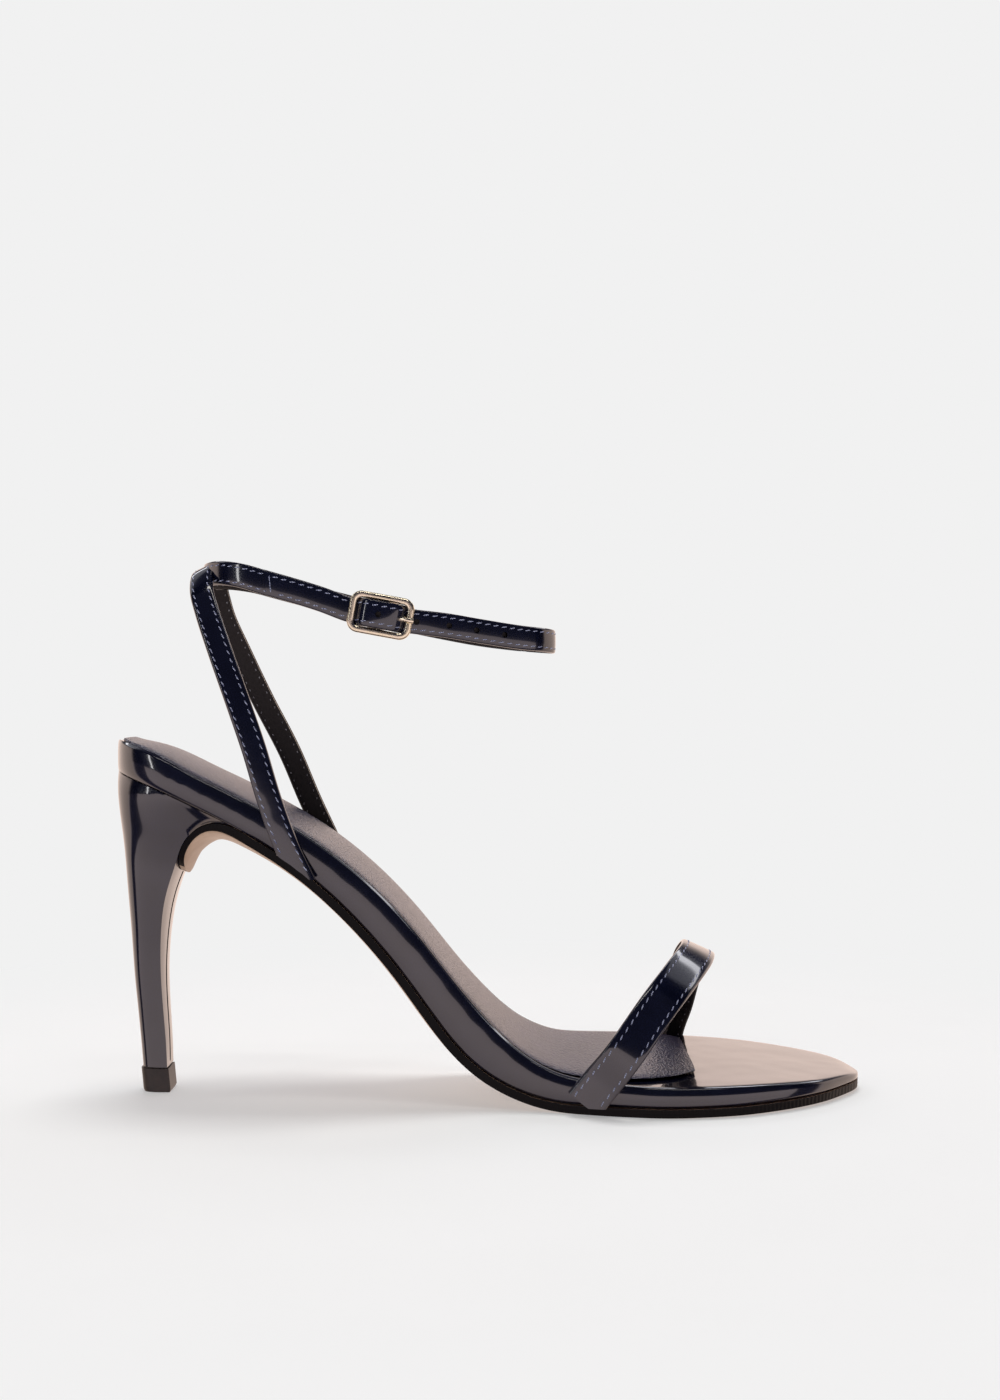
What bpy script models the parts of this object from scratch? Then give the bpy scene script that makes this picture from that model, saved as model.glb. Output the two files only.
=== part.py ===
"""Strappy heeled sandal for a right foot: patent board and straps, wrapped stiletto heel, gilt buckle.

Metres, +Z up, +X towards the toes, +Y towards the inner side of the foot.
The origin lies on the floor, in the middle of the heel's top piece.
"""
import math

import bmesh
import bpy
import numpy as np
from mathutils import Matrix, Vector

# Clearance between neighbouring pieces
GAP = 0.0003

# Sole, board and sock
SOLE_LENGTH = 0.2187
SEAT_WIDTH = 0.0510
WAIST_WIDTH = 0.0455
BALL_WIDTH = 0.0695
SEAT_RISE = 0.0920
TOE_SPRING = 0.0007
OUTSOLE_THICKNESS = 0.0025
SOLE_CROWN = 0.0050
BOARD_THICKNESS = 0.0090
BOARD_EDGE_ROUND = 0.0018
SOCK_LENGTH = 0.1680
SOCK_THICKNESS = 0.0012
SOCK_PADDING = 0.0012
SOCK_RECESS = 0.0010

# Heel and its top piece
SEAT_LENGTH = 0.0365
TOP_PIECE_LENGTH = 0.0086
TOP_PIECE_WIDTH = 0.0094
TOP_PIECE_HEIGHT = 0.0070
TOP_PIECE_BACK = 0.0074
TOP_PIECE_LEAN = 0.0006
FLAP_THICKNESS = 0.0015
FLAP_ROUND = 0.0060
FLAP_LENGTH = 0.0270

# Straps
TOE_STRAP_WIDTH = 0.0106
STRAP_WIDTH = 0.0070
STRAP_THICKNESS = 0.0018
ANKLE_STRAP_THICKNESS = 0.0014
TOE_ARCH_HEIGHT = 0.0445
ANKLE_HEIGHT = 0.1550
ANKLE_WIDTH = 0.0400
PIN_HOLE = 0.0020
PIN_SLOT = 0.0019

# Buckle
BUCKLE_LENGTH = 0.0184
BUCKLE_HEIGHT = 0.0119
BUCKLE_WIRE = 0.0016
BUCKLE_CORNER = 0.0025
BAR_WIRE = 0.0013
BAR_SETBACK = 0.0016
PIN_WIRE = 0.0011
BUCKLE_TILT = math.radians(10.5)

# Roundness of plan outlines: 2 is an ellipse, higher is squarer
HEEL_ROUNDNESS = (2.7, 3.5)
TOP_PIECE_ROUNDNESS = 3.4
# Share of the heel's height above which its section spreads to the board's outline
HEEL_SPREAD_FROM = 0.86

# Spacing of sections along the curved pieces
BREAST_STEP = 0.0042
TOE_STRAP_STEP = 0.0040
BACK_STRAP_STEP = 0.0050
ANKLE_STRAP_STEP = 0.0036

# World x of the sole's rear end, from the origin under the top piece
REAR = -(TOP_PIECE_BACK + 0.5 * TOP_PIECE_LENGTH)

# Outline seen from above: share of the length, the width it follows, and shares of that width
# on the outer (lateral) and inner (medial) side of the centre line
PLAN = (
    ("share", "size", "lateral", "medial"),
    (0.00, SEAT_WIDTH, 0.000, 0.000),
    (0.03, SEAT_WIDTH, 0.305, 0.305),
    (0.07, SEAT_WIDTH, 0.412, 0.412),
    (0.12, SEAT_WIDTH, 0.470, 0.468),
    (0.20, SEAT_WIDTH, 0.500, 0.495),
    (0.30, WAIST_WIDTH, 0.549, 0.523),
    (0.40, WAIST_WIDTH, 0.532, 0.475),
    (0.50, WAIST_WIDTH, 0.555, 0.467),
    (0.58, BALL_WIDTH, 0.415, 0.352),
    (0.66, BALL_WIDTH, 0.482, 0.432),
    (0.73, BALL_WIDTH, 0.515, 0.482),
    (0.80, BALL_WIDTH, 0.492, 0.494),
    (0.87, BALL_WIDTH, 0.410, 0.457),
    (0.93, BALL_WIDTH, 0.288, 0.371),
    (0.97, BALL_WIDTH, 0.155, 0.262),
    (1.00, BALL_WIDTH, -0.043, 0.043),
)

# Side view of the board: share of the length, height of its underside as a share of the seat's
# rise, upright thickness and rise of the inner side as shares of the board's, toe spring share
PROFILE = (
    ("share", "rise", "thickness", "tilt", "spring"),
    (0.000, 1.0000, 1.02, 0.00, 0.0),
    (0.060, 0.9520, 1.09, 0.00, 0.0),
    (0.129, 0.8830, 0.97, 0.00, 0.0),
    (0.194, 0.8040, 0.99, 0.00, 0.0),
    (0.258, 0.7040, 1.15, 0.00, 0.0),
    (0.322, 0.5680, 1.42, 0.00, 0.0),
    (0.386, 0.3940, 1.73, 0.00, 0.0),
    (0.433, 0.2380, 1.93, 0.02, 0.0),
    (0.466, 0.1410, 1.91, 0.06, 0.0),
    (0.502, 0.0720, 1.60, 0.12, 0.0),
    (0.537, 0.0310, 1.24, 0.18, 0.0),
    (0.573, 0.0070, 0.97, 0.24, 0.0),
    (0.600, 0.0000, 0.82, 0.26, 0.0),
    (0.690, 0.0000, 0.65, 0.22, 0.0),
    (0.830, 0.0000, 0.58, 0.04, 0.4),
    (0.930, 0.0000, 0.42, 0.00, 0.8),
    (0.980, 0.0000, 0.30, 0.00, 1.0),
    (1.000, 0.0000, 0.14, 0.00, 1.0),
)

# Front edge of the heel, from its tip to the lip under the board: x as a share of the seat's
# length, height as a share of the heel's, half width as a share of the seat's width, bulge of
# its middle and of the sole's flap over it as shares of the sole's crown
BREAST = (
    ("x", "height", "half_width", "bulge", "flap_bulge"),
    (0.411, 0.0000, 0.090, 0.00, 0.00),
    (0.403, 0.1065, 0.096, 0.04, 0.04),
    (0.384, 0.2365, 0.106, 0.06, 0.06),
    (0.370, 0.3665, 0.121, 0.08, 0.08),
    (0.373, 0.4940, 0.145, 0.12, 0.12),
    (0.400, 0.6320, 0.186, 0.16, 0.16),
    (0.447, 0.7317, 0.216, 0.18, 0.18),
    (0.515, 0.8270, 0.240, 0.26, 0.26),
    (0.553, 0.8840, 0.275, 0.42, 0.44),
    (0.608, 0.9364, 0.324, 0.62, 0.68),
    (0.710, 0.9860, 0.372, 0.68, 0.86),
    (0.814, 1.0070, 0.406, 0.46, 0.92),
    (0.905, 1.0097, 0.432, 0.20, 0.92),
    (1.000, 1.0000, 0.452, 0.00, 0.90),
)

# Back line of the heel: height as a share of the seat's rise, x as a share of the seat's length
HEEL_BACK = (
    ("height", "x"),
    (0.079, 0.197),
    (0.128, 0.188),
    (0.255, 0.160),
    (0.383, 0.130),
    (0.511, 0.112),
    (0.639, 0.090),
    (0.784, 0.064),
    (0.864, 0.046),
    (0.961, 0.020),
    (1.030, 0.005),
)

# Bulge of the sole's underside: share of the length, and of the crown, at its upper face
# and at its lower face
CROWN = (
    ("share", "upper", "lower"),
    (0.00, 0.00, 0.90),
    (0.17, 0.00, 0.90),
    (0.22, 0.14, 0.72),
    (0.30, 0.40, 0.58),
    (0.42, 0.44, 0.56),
    (0.52, 0.20, 0.30),
    (0.60, 0.00, 0.00),
    (1.00, 0.00, 0.00),
)

# Sock: share of the sock's length, padding share, share of the board's half width that it covers
# on the outer and inner side
SOCK = (
    ("share", "padding", "lateral", "medial"),
    (0.00, 0.10, 1.00, 1.00),
    (0.05, 0.80, 1.00, 1.00),
    (0.14, 1.10, 1.00, 1.00),
    (0.28, 0.60, 1.00, 1.00),
    (0.50, 0.50, 1.00, 1.00),
    (0.70, 0.30, 1.00, 1.00),
    (0.80, 0.25, 0.98, 1.00),
    (0.90, 0.25, 0.86, 0.98),
    (0.97, 0.20, 0.72, 0.90),
    (1.00, 0.10, 0.56, 0.76),
)

# Toe strap, from its outer end over the toes to its inner end: x as a share of the sole's length,
# y as a share of the ball's width, z as a share of the arch's height, turn of its width from the
# level in degrees, how far it hugs the board's side
TOE_STRAP = (
    ("x", "y", "z", "turn", "hug"),
    (0.620, -0.530, 0.075, -34.0, 1.0),
    (0.642, -0.530, 0.215, -34.0, 1.0),
    (0.670, -0.520, 0.400, -34.0, 0.3),
    (0.710, -0.450, 0.650, -34.0, 0.0),
    (0.747, -0.310, 0.825, -33.0, 0.0),
    (0.775, -0.110, 0.915, -29.0, 0.0),
    (0.784, 0.060, 0.920, -24.0, 0.0),
    (0.782, 0.240, 0.830, -16.0, 0.0),
    (0.775, 0.370, 0.640, -10.0, 0.0),
    (0.766, 0.445, 0.410, -10.0, 0.1),
    (0.757, 0.480, 0.240, -12.0, 1.0),
    (0.751, 0.490, 0.090, -12.0, 1.0),
)

# Strap round the back of the ankle, from its outer end to its inner end, with the same columns;
# y is a share of the ankle's width and z a share of the ankle's height
BACK_STRAP = (
    ("x", "y", "z", "turn", "hug"),
    (0.2640, -0.660, 0.410, 27.0, 1.0),
    (0.2400, -0.660, 0.482, 25.0, 1.0),
    (0.2190, -0.655, 0.562, 22.0, 0.1),
    (0.1985, -0.635, 0.655, 20.0, 0.0),
    (0.1755, -0.600, 0.745, 19.0, 0.0),
    (0.1515, -0.520, 0.832, 18.0, 0.0),
    (0.1310, -0.400, 0.905, 18.0, 0.0),
    (0.1210, -0.310, 0.946, 21.0, 0.0),
    (0.1180, -0.160, 0.982, 25.0, 0.0),
    (0.1200, 0.000, 0.990, 27.0, 0.0),
    (0.1210, 0.160, 0.980, 25.0, 0.0),
    (0.1240, 0.300, 0.942, 21.0, 0.0),
    (0.1300, 0.390, 0.902, 18.0, 0.0),
    (0.1480, 0.500, 0.838, 19.0, 0.0),
    (0.1780, 0.600, 0.742, 22.0, 0.0),
    (0.2140, 0.645, 0.641, 24.0, 0.0),
    (0.2440, 0.665, 0.541, 26.0, 0.4),
    (0.2680, 0.665, 0.470, 28.0, 1.0),
    (0.2860, 0.665, 0.414, 30.0, 1.0),
)

# Ankle strap where it is free of the buckle, round the heel cord and the instep: x as a share of
# the sole's length, y as a share of the ankle's width, z as a share of the ankle's height. Its
# holed end lies on its first three rows.
ANKLE_STRAP = (
    ("x", "y", "z"),
    (0.2830, -0.4530, 0.926),
    (0.2470, -0.4500, 0.942),
    (0.2100, -0.4320, 0.957),
    (0.1740, -0.3700, 0.972),
    (0.1430, -0.2620, 0.979),
    (0.1240, -0.1350, 0.978),
    (0.1180, 0.0000, 0.977),
    (0.1240, 0.1350, 0.977),
    (0.1430, 0.2620, 0.979),
    (0.1740, 0.3700, 0.974),
    (0.2100, 0.4250, 0.961),
    (0.2830, 0.4680, 0.934),
    (0.3590, 0.4880, 0.907),
    (0.4430, 0.4580, 0.882),
    (0.4880, 0.3900, 0.870),
    (0.5390, 0.2620, 0.860),
    (0.5740, 0.1300, 0.855),
    (0.5860, 0.0000, 0.853),
    (0.5740, -0.1350, 0.855),
    (0.5390, -0.2750, 0.859),
    (0.4880, -0.3980, 0.869),
    (0.4430, -0.4680, 0.879),
)

# Middle of the buckle: x as a share of the sole's length, z as a share of the ankle's height
BUCKLE_PLACE = (0.3600, 0.8965)

# Side wall of the board, upwards: share of its height, inset as a share of the edge's round
BOARD_SIDE = (
    ("height", "inset"),
    (0.00, 0.55),
    (0.12, 0.15),
    (0.45, 0.00),
    (0.78, 0.10),
    (0.94, 0.45),
    (1.00, 1.05),
)

# Places across a ring, from the outer edge at -1 to the inner edge at 1
ACROSS = (-0.6, 0.0, 0.6)
SOCK_ACROSS = (-1.0, -0.94, -0.6, 0.0, 0.6, 0.94, 1.0)


def column(table, name):
    """One named column of a table whose first row holds the names."""
    place = table[0].index(name)
    return np.array([row[place] for row in table[1:]], float)


def smooth(xs, ys):
    """Smooth curve through points in rising x that never swings past them."""
    steps = np.diff(xs)
    slopes = np.diff(ys) / steps
    tangents = np.zeros(len(xs))
    for i in range(1, len(xs) - 1):
        if slopes[i - 1] * slopes[i] > 0:
            before = 2 * steps[i] + steps[i - 1]
            after = steps[i] + 2 * steps[i - 1]
            tangents[i] = (before + after) / (before / slopes[i - 1] + after / slopes[i])
    tangents[0] = slopes[0]
    tangents[-1] = slopes[-1]

    def curve(x):
        i = int(np.clip(np.searchsorted(xs, x) - 1, 0, len(steps) - 1))
        t = (np.clip(x, xs[0], xs[-1]) - xs[i]) / steps[i]
        rise = (1 + 2 * t) * (1 - t) ** 2 * ys[i] + t ** 2 * (3 - 2 * t) * ys[i + 1]
        bend = t * (1 - t) ** 2 * tangents[i] - t ** 2 * (1 - t) * tangents[i + 1]
        return float(rise + steps[i] * bend)

    return curve


def rounded(share):
    """Angle whose cosine gives the share, so that outlines close in round ends."""
    return np.arccos(1 - 2 * np.clip(share, 0, 1))


def spline(points, step):
    """Points of a round curve through the rows of an array, about a step apart."""
    rows = np.vstack([2 * points[0] - points[1], points, 2 * points[-1] - points[-2]])
    made = []
    for i in range(1, len(rows) - 2):
        p0, p1, p2, p3 = rows[i - 1:i + 3]
        knots = [0.0]
        for a, b in ((p0, p1), (p1, p2), (p2, p3)):
            knots.append(knots[-1] + np.linalg.norm((b - a)[:3]) ** 0.5)
        t0, t1, t2, t3 = knots
        pieces = max(1, round(np.linalg.norm((p2 - p1)[:3]) / step))
        for t in np.linspace(t1, t2, pieces, endpoint=False):
            a1 = (t1 - t) / (t1 - t0) * p0 + (t - t0) / (t1 - t0) * p1
            a2 = (t2 - t) / (t2 - t1) * p1 + (t - t1) / (t2 - t1) * p2
            a3 = (t3 - t) / (t3 - t2) * p2 + (t - t2) / (t3 - t2) * p3
            b1 = (t2 - t) / (t2 - t0) * a1 + (t - t0) / (t2 - t0) * a2
            b2 = (t3 - t) / (t3 - t1) * a2 + (t - t1) / (t3 - t1) * a3
            made.append((t2 - t) / (t2 - t1) * b1 + (t - t1) / (t2 - t1) * b2)
    made.append(points[-1])
    return np.array(made)


PLAN_ANGLE = rounded(column(PLAN, "share"))
LATERAL = smooth(PLAN_ANGLE, column(PLAN, "lateral") * column(PLAN, "size"))
MEDIAL = smooth(PLAN_ANGLE, column(PLAN, "medial") * column(PLAN, "size"))
RISE = smooth(column(PROFILE, "share"), column(PROFILE, "rise"))
THICKNESS = smooth(column(PROFILE, "share"), column(PROFILE, "thickness"))
TILT = smooth(column(PROFILE, "share"), column(PROFILE, "tilt"))
SPRING = smooth(column(PROFILE, "share"), column(PROFILE, "spring"))
CROWN_UPPER = smooth(column(CROWN, "share"), column(CROWN, "upper"))
CROWN_LOWER = smooth(column(CROWN, "share"), column(CROWN, "lower"))
HEEL_BACK_X = smooth(column(HEEL_BACK, "height"), column(HEEL_BACK, "x"))
SOCK_PAD = smooth(column(SOCK, "share"), column(SOCK, "padding"))
SOCK_LATERAL = smooth(column(SOCK, "share"), column(SOCK, "lateral"))
SOCK_MEDIAL = smooth(column(SOCK, "share"), column(SOCK, "medial"))


def half_width(x, side):
    """Half width of the board at x from the sole's rear end, lateral for side -1."""
    angle = rounded(x / SOLE_LENGTH)
    return LATERAL(angle) if side < 0 else MEDIAL(angle)


def edge_inset(x, share):
    """Inset from the board's outline, narrowed where the toe or the heel closes."""
    room = 0.5 * (half_width(x, -1) + half_width(x, 1))
    return share * BOARD_EDGE_ROUND * min(1.0, room / (3 * BOARD_EDGE_ROUND))


def board_under(x):
    """Height of the board's underside at its edge."""
    share = x / SOLE_LENGTH
    return OUTSOLE_THICKNESS + GAP + RISE(share) * SEAT_RISE + SPRING(share) * TOE_SPRING


def board_over(x, side=-1):
    """Height of the board's top at its outer or inner edge."""
    share = x / SOLE_LENGTH
    back = min(1.0, max(0.0, 1 - x / BOARD_EDGE_ROUND))
    drop = BOARD_EDGE_ROUND * (1 - math.sqrt(1 - back ** 2))
    tilt = TILT(share) if side > 0 else 0.0
    return board_under(x) + (THICKNESS(share) + tilt) * BOARD_THICKNESS - drop


def sock_recess(x):
    """Depth by which the board's top lies lower where the sock lies on it."""
    share = x / SOCK_LENGTH
    start = np.clip(share / 0.03, 0, 1)
    end = np.clip((1 - share) / 0.3, 0, 1)
    return SOCK_RECESS * float(min(start, end))


def across(edges, v):
    """Value between two edges, from the first at -1 to the second at 1."""
    return edges[0] + (edges[1] - edges[0]) * 0.5 * (1 + v)


def stations(start, end, count):
    """Places along the sole, from start to end, closer together at the sole's round ends."""
    first = rounded(start / SOLE_LENGTH)
    last = rounded(end / SOLE_LENGTH)
    return [0.5 * SOLE_LENGTH * (1 - math.cos(a)) for a in np.linspace(first, last, count)]


BOARD_STATIONS = stations(0.0002 * SOLE_LENGTH, 0.9998 * SOLE_LENGTH, 58)


def material(name, colour, roughness, metallic=0.0):
    """Principled material of one finish."""
    made = bpy.data.materials.new(name)
    made.use_nodes = True
    shader = made.node_tree.nodes["Principled BSDF"]
    shader.inputs["Base Color"].default_value = (*colour, 1.0)
    shader.inputs["Roughness"].default_value = roughness
    shader.inputs["Metallic"].default_value = metallic
    return made


def add_object(name, mesh, finish, collection):
    """Object for a mesh, with its material, in its collection."""
    made = bpy.data.objects.new(name, mesh)
    mesh.materials.append(finish)
    collection.objects.link(made)
    return made


def as_cutter(made):
    """Marks an object as a guide that only shapes others."""
    made.hide_render = True
    made.display_type = "WIRE"
    return made


def boolean(target, other, operation):
    """Boolean modifier that joins or cuts the target with another object."""
    modifier = target.modifiers.new(other.name, "BOOLEAN")
    modifier.operation = operation
    modifier.solver = "EXACT"
    modifier.object = other


def close_end(body, layer):
    """Strips across the end of a loft whose ring runs up one side and back down the other."""
    low = 0
    high = len(layer) - 1
    while high - low > 2:
        body.faces.new((layer[low], layer[low + 1], layer[high - 1], layer[high]))
        low += 1
        high -= 1
    if high - low == 2:
        body.faces.new((layer[low], layer[low + 1], layer[high]))


def loft(name, rings, finish, collection):
    """Closed solid through rings of points, all of one length, each ring closed on itself."""
    mesh = bpy.data.meshes.new(name)
    body = bmesh.new()
    layers = []
    for ring in rings:
        layers.append([body.verts.new((x + REAR, y, z)) for x, y, z in ring])
    for lower, upper in zip(layers, layers[1:]):
        for i in range(len(lower)):
            j = (i + 1) % len(lower)
            body.faces.new((lower[i], lower[j], upper[j], upper[i]))
    close_end(body, layers[0])
    close_end(body, layers[-1])
    bmesh.ops.recalc_face_normals(body, faces=body.faces)
    body.to_mesh(mesh)
    body.free()
    mesh.shade_smooth()
    mesh.set_sharp_from_angle(angle=math.radians(40))
    return add_object(name, mesh, finish, collection)


def build_board(finish, collection):
    """Board with its wrapped, rounded side, from the back of the seat to the toe."""
    heights = column(BOARD_SIDE, "height")
    insets = column(BOARD_SIDE, "inset")
    rings = []
    for x in BOARD_STATIONS:
        low = board_under(x)
        crown = CROWN_UPPER(x / SOLE_LENGTH) * SOLE_CROWN
        tops = (board_over(x, -1), board_over(x, 1))
        walls = []
        for side, top in zip((-1, 1), tops):
            walls.append([
                (x, side * (half_width(x, side) - edge_inset(x, inset)), low + (top - low) * share)
                for share, inset in zip(heights, insets)
            ])
        outer, inner = walls
        top_edges = (outer[-1][1], inner[-1][1])
        low_edges = (outer[0][1], inner[0][1])
        floor = sock_recess(x)
        over = []
        for v in SOCK_ACROSS[1:-1]:
            over.append((x, across(top_edges, v), across(tops, v) - floor))
        under = []
        for v in reversed(ACROSS):
            under.append((x, across(low_edges, v), low - crown * (1 - v * v)))
        rings.append(outer + over + inner[::-1] + under)
    return loft("footbed_board", rings, finish, collection)


def build_sock(finish, collection):
    """Padded sock on the board, from the seat to a tongue under the toes."""
    places = [x for x in BOARD_STATIONS if 1.6 * BOARD_EDGE_ROUND < x < SOCK_LENGTH - 0.003]
    places += [SOCK_LENGTH - 0.0016, SOCK_LENGTH - 0.0005, SOCK_LENGTH]
    start = places[0]
    rings = []
    for x in places:
        share = (x - start) / (SOCK_LENGTH - start)
        covers = {-1: SOCK_LATERAL(share), 1: SOCK_MEDIAL(share)}
        edges = []
        for side in (-1, 1):
            full = half_width(x, side) - edge_inset(x, 1.05) - BOARD_EDGE_ROUND * 0.5
            edges.append(side * full * covers[side])
        board_edges = [side * (half_width(x, side) - edge_inset(x, 1.05)) for side in (-1, 1)]
        tops = (board_over(x, -1), board_over(x, 1))
        pad = SOCK_PAD(share) * SOCK_PADDING
        over = []
        under = []
        for v in SOCK_ACROSS:
            y = across(edges, v)
            place = 2 * (y - board_edges[0]) / (board_edges[1] - board_edges[0]) - 1
            bed = across(tops, place) - sock_recess(x) + GAP
            wall = SOCK_THICKNESS * (0.55 if abs(v) == 1 else 1.0)
            over.append((x, y, bed + wall + pad * (1 - v * v)))
            if abs(v) < 1:
                under.append((x, y, bed))
        rings.append(over + under[::-1])
    return loft("insole_sock", rings, finish, collection)


def breast_curve():
    """Front edge of the heel, tip to lip, with its outward direction in x and z.

    Each row holds x, height, half width, bulge and the flap's bulge in metres.
    """
    tip = TOP_PIECE_HEIGHT + GAP
    rise = board_under(SEAT_LENGTH) - GAP - tip
    rows = np.stack([
        column(BREAST, "x") * SEAT_LENGTH,
        tip + column(BREAST, "height") * rise,
        column(BREAST, "half_width") * SEAT_WIDTH,
        column(BREAST, "bulge") * SOLE_CROWN,
        column(BREAST, "flap_bulge") * SOLE_CROWN,
    ], axis=1)
    fine = spline(rows, BREAST_STEP)
    run = np.gradient(fine[:, :2], axis=0)
    run /= np.linalg.norm(run, axis=1)[:, None]
    return fine, np.stack([run[:, 1], -run[:, 0]], axis=1)


def build_heel(finish, collection):
    """Heel from its tip to the seat, its top following the board's underside."""
    fine, normals = breast_curve()
    tip = fine[0][1]
    rings = []
    for (front, height, width, bulge, _), out in zip(fine, normals):
        share = (height - tip) / (board_under(front) - GAP - tip)
        back_level = tip + share * (board_under(0) - GAP - tip)
        back = HEEL_BACK_X(back_level / SEAT_RISE) * SEAT_LENGTH
        roundness = across(HEEL_ROUNDNESS, 2 * share - 1)
        blend = max(0.0, (share - HEEL_SPREAD_FROM) / (1 - HEEL_SPREAD_FROM)) ** 1.5
        halves = {}
        for side in (-1, 1):
            halves[side] = []
            for turn in np.linspace(0, 0.5 * math.pi, 11)[:-1]:
                reach = math.sin(turn) ** (2 / roundness)
                x = front - (front - back) * reach
                y = width * math.cos(turn) ** (2 / roundness)
                edge = half_width(x, side) - 0.5 * BOARD_EDGE_ROUND
                y += blend * (edge - y) * min(1.0, 2 * reach)
                z = tip + share * (board_under(x) - GAP - tip)
                halves[side].append((x, side * y, z))
        face = []
        for v in (0.6, 0.0, -0.6):
            push = bulge * (1 - v * v)
            face.append((front + push * out[0], v * width, height + push * out[1]))
        rings.append(halves[-1] + [(back, 0.0, back_level)] + halves[1][::-1] + face)
    return loft("heel", rings, finish, collection)


def build_top_piece(finish, collection):
    """Heel tip: a D seen from above, its foot a little further forward than its top."""
    levels = (
        (0.0, 0.0, 0.0003),
        (0.0, 0.0008, 0.0),
        (1.0, TOP_PIECE_HEIGHT, 0.0),
    )
    rings = []
    for lean, height, inset in levels:
        back = TOP_PIECE_BACK - lean * TOP_PIECE_LEAN + inset
        front = TOP_PIECE_BACK + TOP_PIECE_LENGTH - lean * TOP_PIECE_LEAN - inset
        width = 0.5 * TOP_PIECE_WIDTH - inset
        half = []
        for turn in np.linspace(0, 0.5 * math.pi, 9)[:-1]:
            reach = math.sin(turn) ** (2 / TOP_PIECE_ROUNDNESS)
            y = width * math.cos(turn) ** (2 / TOP_PIECE_ROUNDNESS)
            half.append((front - (front - back) * reach, y))
        outer = [(x, -y, height) for x, y in half]
        inner = [(x, y, height) for x, y in half]
        rings.append(outer + [(back, 0.0, height)] + inner[::-1])
    return loft("top_piece", rings, finish, collection)


def sole_direction(x):
    """Direction in x and z that points out of the sole's underside at x."""
    reach = 0.001
    climb = board_under(x + reach) - board_under(x - reach)
    run = math.hypot(2 * reach, climb)
    return climb / run, -2 * reach / run


def outsole_ring(upper, edge, out, spans, thickness, crown):
    """Ring of the outsole: its upper face, then its lower face pushed out by its thickness."""
    lower = []
    for y, v in zip(spans, (1.0, 0.6, 0.0, -0.6, -1.0)):
        push = thickness + crown * (1 - v * v)
        lower.append((edge[0] + out[0] * push, y, edge[1] + out[1] * push))
    return upper + lower


def sole_rings():
    """Rings of the outsole from the toe back to the lip of the heel."""
    rings = []
    for x in reversed(BOARD_STATIONS):
        if x < SEAT_LENGTH + GAP:
            break
        low = board_under(x) - GAP
        share = x / SOLE_LENGTH
        crown = CROWN_UPPER(share) * SOLE_CROWN
        rim = [side * (half_width(x, side) - edge_inset(x, 0.10)) for side in (-1, 1)]
        foot = [side * (half_width(x, side) - edge_inset(x, 0.55)) for side in (-1, 1)]
        upper = [(x, rim[0], low)]
        upper += [(x, across(foot, v), low - crown * (1 - v * v)) for v in ACROSS]
        upper.append((x, rim[1], low))
        spans = [foot[1]] + [across(foot, v) for v in reversed(ACROSS)] + [foot[0]]
        under = CROWN_LOWER(share) * SOLE_CROWN
        rings.append(outsole_ring(upper, (x, low), sole_direction(x), spans, OUTSOLE_THICKNESS, under))
    return rings


def flap_rings():
    """Rings of the outsole's flap, down the heel's breast from the lip to its round end."""
    fine, normals = breast_curve()
    lengths = np.concatenate([[0.0], np.cumsum(np.linalg.norm(np.diff(fine[:, :2], axis=0), axis=1))])
    lengths = lengths[-1] - lengths
    places = [length for length in lengths if length < FLAP_LENGTH - FLAP_ROUND]
    places += [FLAP_LENGTH - FLAP_ROUND * share for share in (1.0, 0.72, 0.45, 0.22, 0.07, 0.005)]
    rings = []
    for place in sorted(places):
        x, z, width, bulge, flap_bulge = [
            np.interp(place, lengths[::-1], fine[::-1, i]) for i in range(5)]
        out = [np.interp(place, lengths[::-1], normals[::-1, i]) for i in range(2)]
        left = min(1.0, (FLAP_LENGTH - place) / FLAP_ROUND)
        narrow = math.sqrt(1 - (1 - left) ** 2)
        span = (width - GAP) * narrow
        upper = []
        for v in (-1.0,) + ACROSS + (1.0,):
            push = GAP + bulge * (1 - (v * narrow) ** 2)
            upper.append((x + out[0] * push, v * span, z + out[1] * push))
        thin = min(1.0, place / (0.5 * FLAP_LENGTH))
        thickness = OUTSOLE_THICKNESS + (FLAP_THICKNESS - OUTSOLE_THICKNESS) * thin
        foot = [v * (span - 0.35 * FLAP_THICKNESS * narrow) for v in (1.0, 0.6, 0.0, -0.6, -1.0)]
        base = GAP + bulge * (1 - narrow ** 2)
        edge = (x + out[0] * base, z + out[1] * base)
        rings.append(outsole_ring(upper, edge, out, foot, thickness, flap_bulge * narrow ** 2))
    return rings


def build_outsole(finish, collection):
    """Sole from the toe to the waist, bent down the heel's breast as a narrowing flap."""
    return loft("outsole", sole_rings() + flap_rings(), finish, collection)


def ribbon(name, rows, thickness, finish, collection):
    """Strap of one thickness from rows of points across it, with Solidify."""
    mesh = bpy.data.meshes.new(name)
    body = bmesh.new()
    layers = []
    for row in rows:
        layers.append([body.verts.new((x + REAR, y, z)) for x, y, z in row])
    for lower, upper in zip(layers, layers[1:]):
        for i in range(len(lower) - 1):
            body.faces.new((lower[i], lower[i + 1], upper[i + 1], upper[i]))
    body.to_mesh(mesh)
    body.free()
    made = add_object(name, mesh, finish, collection)
    shell = made.modifiers.new("thickness", "SOLIDIFY")
    shell.thickness = thickness
    shell.offset = 0.0
    shell.use_even_offset = True
    return made


def directions(points):
    """Unit direction of travel at each of a row of points."""
    run = np.gradient(points, axis=0)
    return run / np.linalg.norm(run, axis=1)[:, None]


def seat_on_board(edge, before):
    """End of a strap's edge, carried on from the point before it to the board's lower edge."""
    level = board_under(edge[0]) - GAP
    share = (level - before[2]) / (edge[2] - before[2])
    return before + (edge - before) * share


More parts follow.
